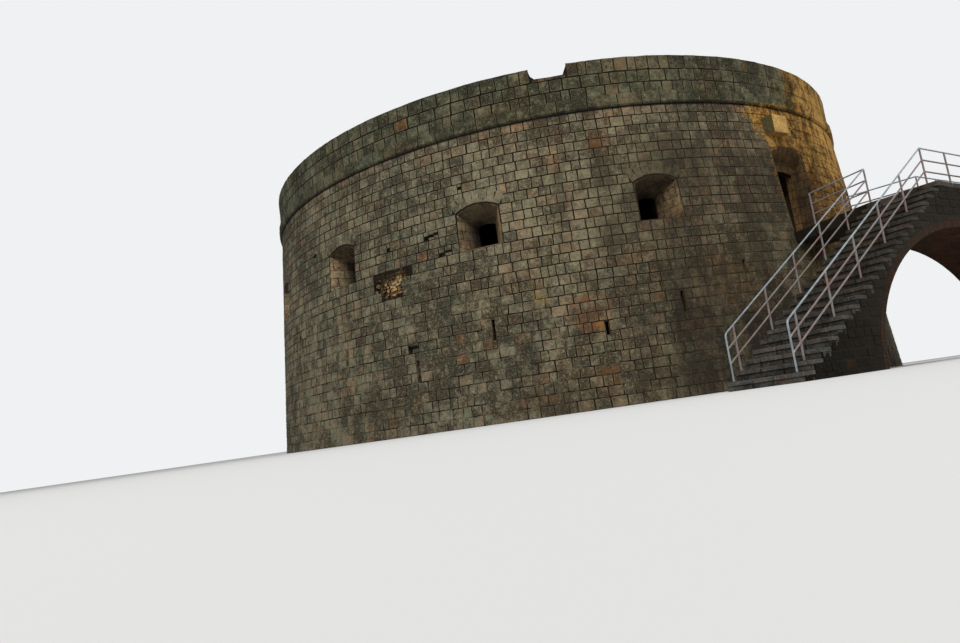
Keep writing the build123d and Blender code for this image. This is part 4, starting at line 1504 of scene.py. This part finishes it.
class FORT_OT_stair_arch(bpy.types.Operator):
    """Set the bricks of the stair's arch ring"""

    bl_idname = "fort.stair_arch"
    bl_label = "Stair Arch"

    def execute(self, context):
        stair, stones = context.scene.fort_stair, context.scene.fort_stone
        at = stair_frame(stair)
        half = stair.arch_half_span + stair.arch_ring / 2
        rise = stair.arch_height + stair.arch_ring / 2
        panel = Panel(stones.seed + 15)
        samples = 720
        angles = [math.pi * k / samples for k in range(samples + 1)]
        outline = [(half * math.cos(angle), rise * math.sin(angle)) for angle in angles]
        lengths = [0.0]
        for (x0, y0), (x1, y1) in zip(outline, outline[1:]):
            lengths.append(lengths[-1] + math.hypot(x1 - x0, y1 - y0))
        count = round(lengths[-1] / stair.brick_pitch)
        pitch = lengths[-1] / count
        depth = -at["outer"] + at["inner"]
        spot = 0
        for k in range(count):
            reach = (k + 0.5) * pitch
            while lengths[spot + 1] < reach:
                spot += 1
            share = (reach - lengths[spot]) / (lengths[spot + 1] - lengths[spot])
            x, y = (a + (b - a) * share for a, b in zip(outline[spot], outline[spot + 1]))
            lean = math.atan2(-x / half**2, y / rise**2)
            bricks = 7 if k % 2 else 8
            length = depth / bricks
            for j in range(bricks):
                panel.add(
                    stair.arch_centre + x, y, pitch - RUBBLE_JOINT, stair.arch_ring - 0.006,
                    length - RUBBLE_JOINT, -at["inner"] + (j + 0.5) * length, lean,
                )

        def rule(point):
            moved = flank_moved(point, at, BRICK_RECESS)
            across = (point.x - stair.arch_centre) / stair.arch_half_span
            if abs(math.hypot(across, point.z / stair.arch_height) - 1) < ON_FACE:
                moved.x += (point.x - stair.arch_centre) * BRICK_RECESS / stair.arch_half_span
                moved.z += point.z * BRICK_RECESS / stair.arch_height
            return None if moved == point else moved

        name = "stair_arch_bricks"
        core = core_copy("stair_arch", rule, "bedding", "bedding")
        laid = bake_flat(panel, name, stones, "brick", "block", 0.004, 0.004, "-Y")
        settle(name, [core, laid], "arch_brick", "stair_arch")
        return {"FINISHED"}


class FORT_OT_steps(bpy.types.Operator):
    """Set the worn slabs of the steps and the landing"""

    bl_idname = "fort.steps"
    bl_label = "Steps And Landing"

    def execute(self, context):
        stair, stones = context.scene.fort_stair, context.scene.fort_stone
        at = stair_frame(stair)
        width = at["inner"] - at["outer"]
        steps, risers = Panel(stones.seed + 16), Panel(stones.seed + 19)
        rest = at["riser"] - stair.tread_thickness
        depth = stair.going + stair.tread_nosing
        for k in range(1, stair.riser_count):
            nosing = at["foot"] + (k - 1) * stair.going - stair.tread_nosing
            tread_up = k * at["riser"] - stair.tread_thickness / 2 - SLAB_PLAY
            riser_up = (k - 1) * at["riser"] + rest / 2
            count = steps.chance.choice((3, 3, 4))
            shares = [steps.chance.uniform(0.75, 1.25) for _ in range(count)]
            place = at["outer"]
            for share in shares:
                length = width * share / sum(shares)
                middle = place + length / 2
                long = length - SLAB_JOINT
                thick = stair.tread_thickness - 2 * SLAB_PLAY
                steps.add(nosing + depth / 2, middle, depth, long, thick, tread_up)
                back = nosing + stair.tread_nosing + stair.going / 2 + SLAB_PLAY
                risers.add(back, middle + 0.01, stair.going, long, rest - 2 * SLAB_PLAY, riser_up)
                place += length
        parts = [
            bake_flat(steps, "stair_steps", stones, "tread", "block", 0.005, 0.005),
            bake_flat(risers, "stair_risers", stones, "riser", "block", 0.005, 0.005),
        ]
        settle("stair_steps", parts, "tread_stone", "stair_treads")
        slabs = Panel(stones.seed + 17)
        start = at["top_nosing"] - stair.tread_nosing
        bed = at["floor"] - at["landing_bed"]
        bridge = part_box("bridge_slab")
        mouth = bridge[0].y

        def lay(place, along, near, far):
            middle = (near + far) / 2
            sizes = (along - SLAB_JOINT, far - near - SLAB_JOINT, bed - 2 * SLAB_PLAY)
            slabs.add(place + along / 2, middle, *sizes, at["floor"] - bed / 2 - SLAB_PLAY)
            return place + along

        for row in range(3):
            near = at["outer"] + (mouth - at["outer"]) * row / 3
            far = at["outer"] + (mouth - at["outer"]) * (row + 1) / 3
            place = start
            while place < at["end"] - 0.2:
                place = lay(place, min(slabs.chance.uniform(0.7, 1.15), at["end"] - place), near, far)
        for place, right in ((start, bridge[0].x), (bridge[1].x, at["end"])):
            while place < right - 0.01:
                place = lay(place, min(1.1, right - place), mouth, at["inner"])
        laid = bake_flat(slabs, "landing_paving", stones, "tread", "block", 0.006, 0.006)
        settle("landing_paving", [laid], "tread_stone", "landing_slab")
        return {"FINISHED"}


class FORT_OT_bridge(bpy.types.Operator):
    """Finish the slab from the landing to the door"""

    bl_idname = "fort.bridge"
    bl_label = "Bridge"

    def execute(self, context):
        assign("bridge_slab", "slab")
        return {"FINISHED"}


class FORT_OT_tablet(bpy.types.Operator):
    """Set the blank stone tablet over the door"""

    bl_idname = "fort.tablet"
    bl_label = "Tablet"

    def execute(self, context):
        low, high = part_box("entrance_tablet")
        shape = bmesh.new()
        bmesh.ops.create_cube(shape, size=1.0)
        bmesh.ops.scale(shape, vec=high - low, verts=list(shape.verts))
        front = [edge for edge in shape.edges if all(vertex.co.y < 0 for vertex in edge.verts)]
        bmesh.ops.bevel(shape, geom=front, offset=0.03, segments=2, affect="EDGES", profile=0.7)
        bmesh.ops.subdivide_edges(shape, edges=list(shape.edges), cuts=5, use_grid_fill=True)
        chance = random.Random(context.scene.fort_stone.seed + 18)
        for vertex in shape.verts:
            vertex.co *= 1 - chance.uniform(0, 0.006)
            vertex.co += (low + high) / 2
        bmesh.ops.recalc_face_normals(shape, faces=list(shape.faces))
        mesh = bpy.data.meshes.new("tablet_stone")
        shape.to_mesh(mesh)
        shape.free()
        mesh.materials.append(finishes["tablet"])
        tablet = bpy.data.objects.new("tablet_stone", mesh)
        context.scene.collection.objects.link(tablet)
        settle("tablet_stone", [tablet], "tablet_stone", "entrance_tablet")
        return {"FINISHED"}


class FORT_OT_railings(bpy.types.Operator):
    """Paint the steel railings"""

    bl_idname = "fort.railings"
    bl_label = "Railings"

    def execute(self, context):
        for node in frame["nodes"]:
            if "railing" in node:
                assign(node, "steel")
        return {"FINISHED"}


# The stage

CAMERA_PLACE = (-22.124, -25.767, 0.0911)
CAMERA_AXES = (
    (0.83238, 0.04104, -0.55268),
    (-0.53607, -0.19339, -0.82172),
    (-0.14061, 0.98026, -0.13898),
)
CAMERA_LENS = 27.006
FLOOR_HALF = 400
# Name, place, target, width and power of the soft lamps
LAMPS = (
    ("key", (-34, -36, 46), (0, 0, 5), 20, 20500),
    ("side", (34, -34, 20), (3, -10, 6), 18, 3400),
)


class FORT_OT_stage(bpy.types.Operator):
    """Set the floor, the soft lights and the camera"""

    bl_idname = "fort.stage"
    bl_label = "Stage"

    def execute(self, context):
        scene = context.scene
        corners = [(a * FLOOR_HALF, b * FLOOR_HALF, 0) for a, b in ((-1, -1), (1, -1), (1, 1), (-1, 1))]
        floor = mesh_object("floor", corners, [(0, 1, 2, 3)])
        scene.collection.objects.link(floor)
        finish = Finish("pale_floor")
        finish.fill(finish.shader, {"Base Color": (0.7, 0.69, 0.67, 1), "Roughness": 0.9})
        floor.data.materials.append(finish.material)
        world = scene.world or bpy.data.worlds.new("studio")
        scene.world = world
        world.use_nodes = True
        tree = Tree(world.node_tree)
        soft = world.node_tree.nodes["Background"]
        tree.fill(soft, {"Color": (0.9, 0.93, 0.97, 1), "Strength": 0.42})
        backdrop = tree.node("ShaderNodeBackground", {"Color": (0.87, 0.88, 0.89, 1), "Strength": 1.0})
        rays = tree.node("ShaderNodeLightPath")
        seen = rays.out("Is Camera Ray").sum("MAXIMUM", rays.out("Is Glossy Ray"))
        shown = tree.node("ShaderNodeMixShader", {0: seen, 1: Value(tree, soft.outputs[0]), 2: backdrop})
        tree.fill(world.node_tree.nodes["World Output"], {"Surface": shown})
        for name, place, target, width, power in LAMPS:
            light = bpy.data.lights.new(name, "AREA")
            light.shape = "DISK"
            light.size = width
            light.energy = power
            lamp = bpy.data.objects.new(name, light)
            lamp.location = place
            lamp.rotation_euler = (Vector(target) - Vector(place)).to_track_quat("-Z", "Y").to_euler()
            scene.collection.objects.link(lamp)
        camera = bpy.data.cameras.new("camera")
        camera.lens = CAMERA_LENS
        camera.sensor_width = 36
        camera.sensor_fit = "HORIZONTAL"
        camera.clip_end = 1000
        view = bpy.data.objects.new("camera", camera)
        view.matrix_world = Matrix.Translation(CAMERA_PLACE) @ Matrix(CAMERA_AXES).to_4x4()
        scene.collection.objects.link(view)
        scene.camera = view
        scene.view_settings.view_transform = "Standard"
        return {"FINISHED"}


STEPS = (
    FORT_OT_stage, FORT_OT_wall_bays, FORT_OT_entrance, FORT_OT_tablet, FORT_OT_string_course,
    FORT_OT_parapet, FORT_OT_floors, FORT_OT_stair_masonry, FORT_OT_stair_arch, FORT_OT_steps,
    FORT_OT_bridge, FORT_OT_railings,
)


class FORT_PT_panel(bpy.types.Panel):
    """Lists the steps that dress the tower"""

    bl_label = "Round Gun Tower"
    bl_idname = "FORT_PT_panel"
    bl_space_type = "VIEW_3D"
    bl_region_type = "UI"
    bl_category = "Fort"

    def draw(self, context):
        column = self.layout.column()
        for step in STEPS:
            column.operator(step.bl_idname)


PROPERTY_GROUPS = {
    "fort_tower": FortTowerSizes,
    "fort_stone": FortStoneSizes,
    "fort_stair": FortStairSizes,
    "fort_colours": FortColours,
}
CLASSES = (*PROPERTY_GROUPS.values(), *STEPS, FORT_PT_panel)


def register():
    for cls in CLASSES:
        bpy.utils.register_class(cls)
    for label, group in PROPERTY_GROUPS.items():
        setattr(bpy.types.Scene, label, PointerProperty(type=group))


def unregister():
    for label in PROPERTY_GROUPS:
        delattr(bpy.types.Scene, label)
    for cls in reversed(CLASSES):
        bpy.utils.unregister_class(cls)


def main():
    """Dress the whole tower."""
    register()
    prepare(bpy.context.scene)
    for step in STEPS:
        group, name = step.bl_idname.split(".")
        getattr(getattr(bpy.ops, group), name)()
    clear_helpers()


if __name__ == "__main__":
    main()
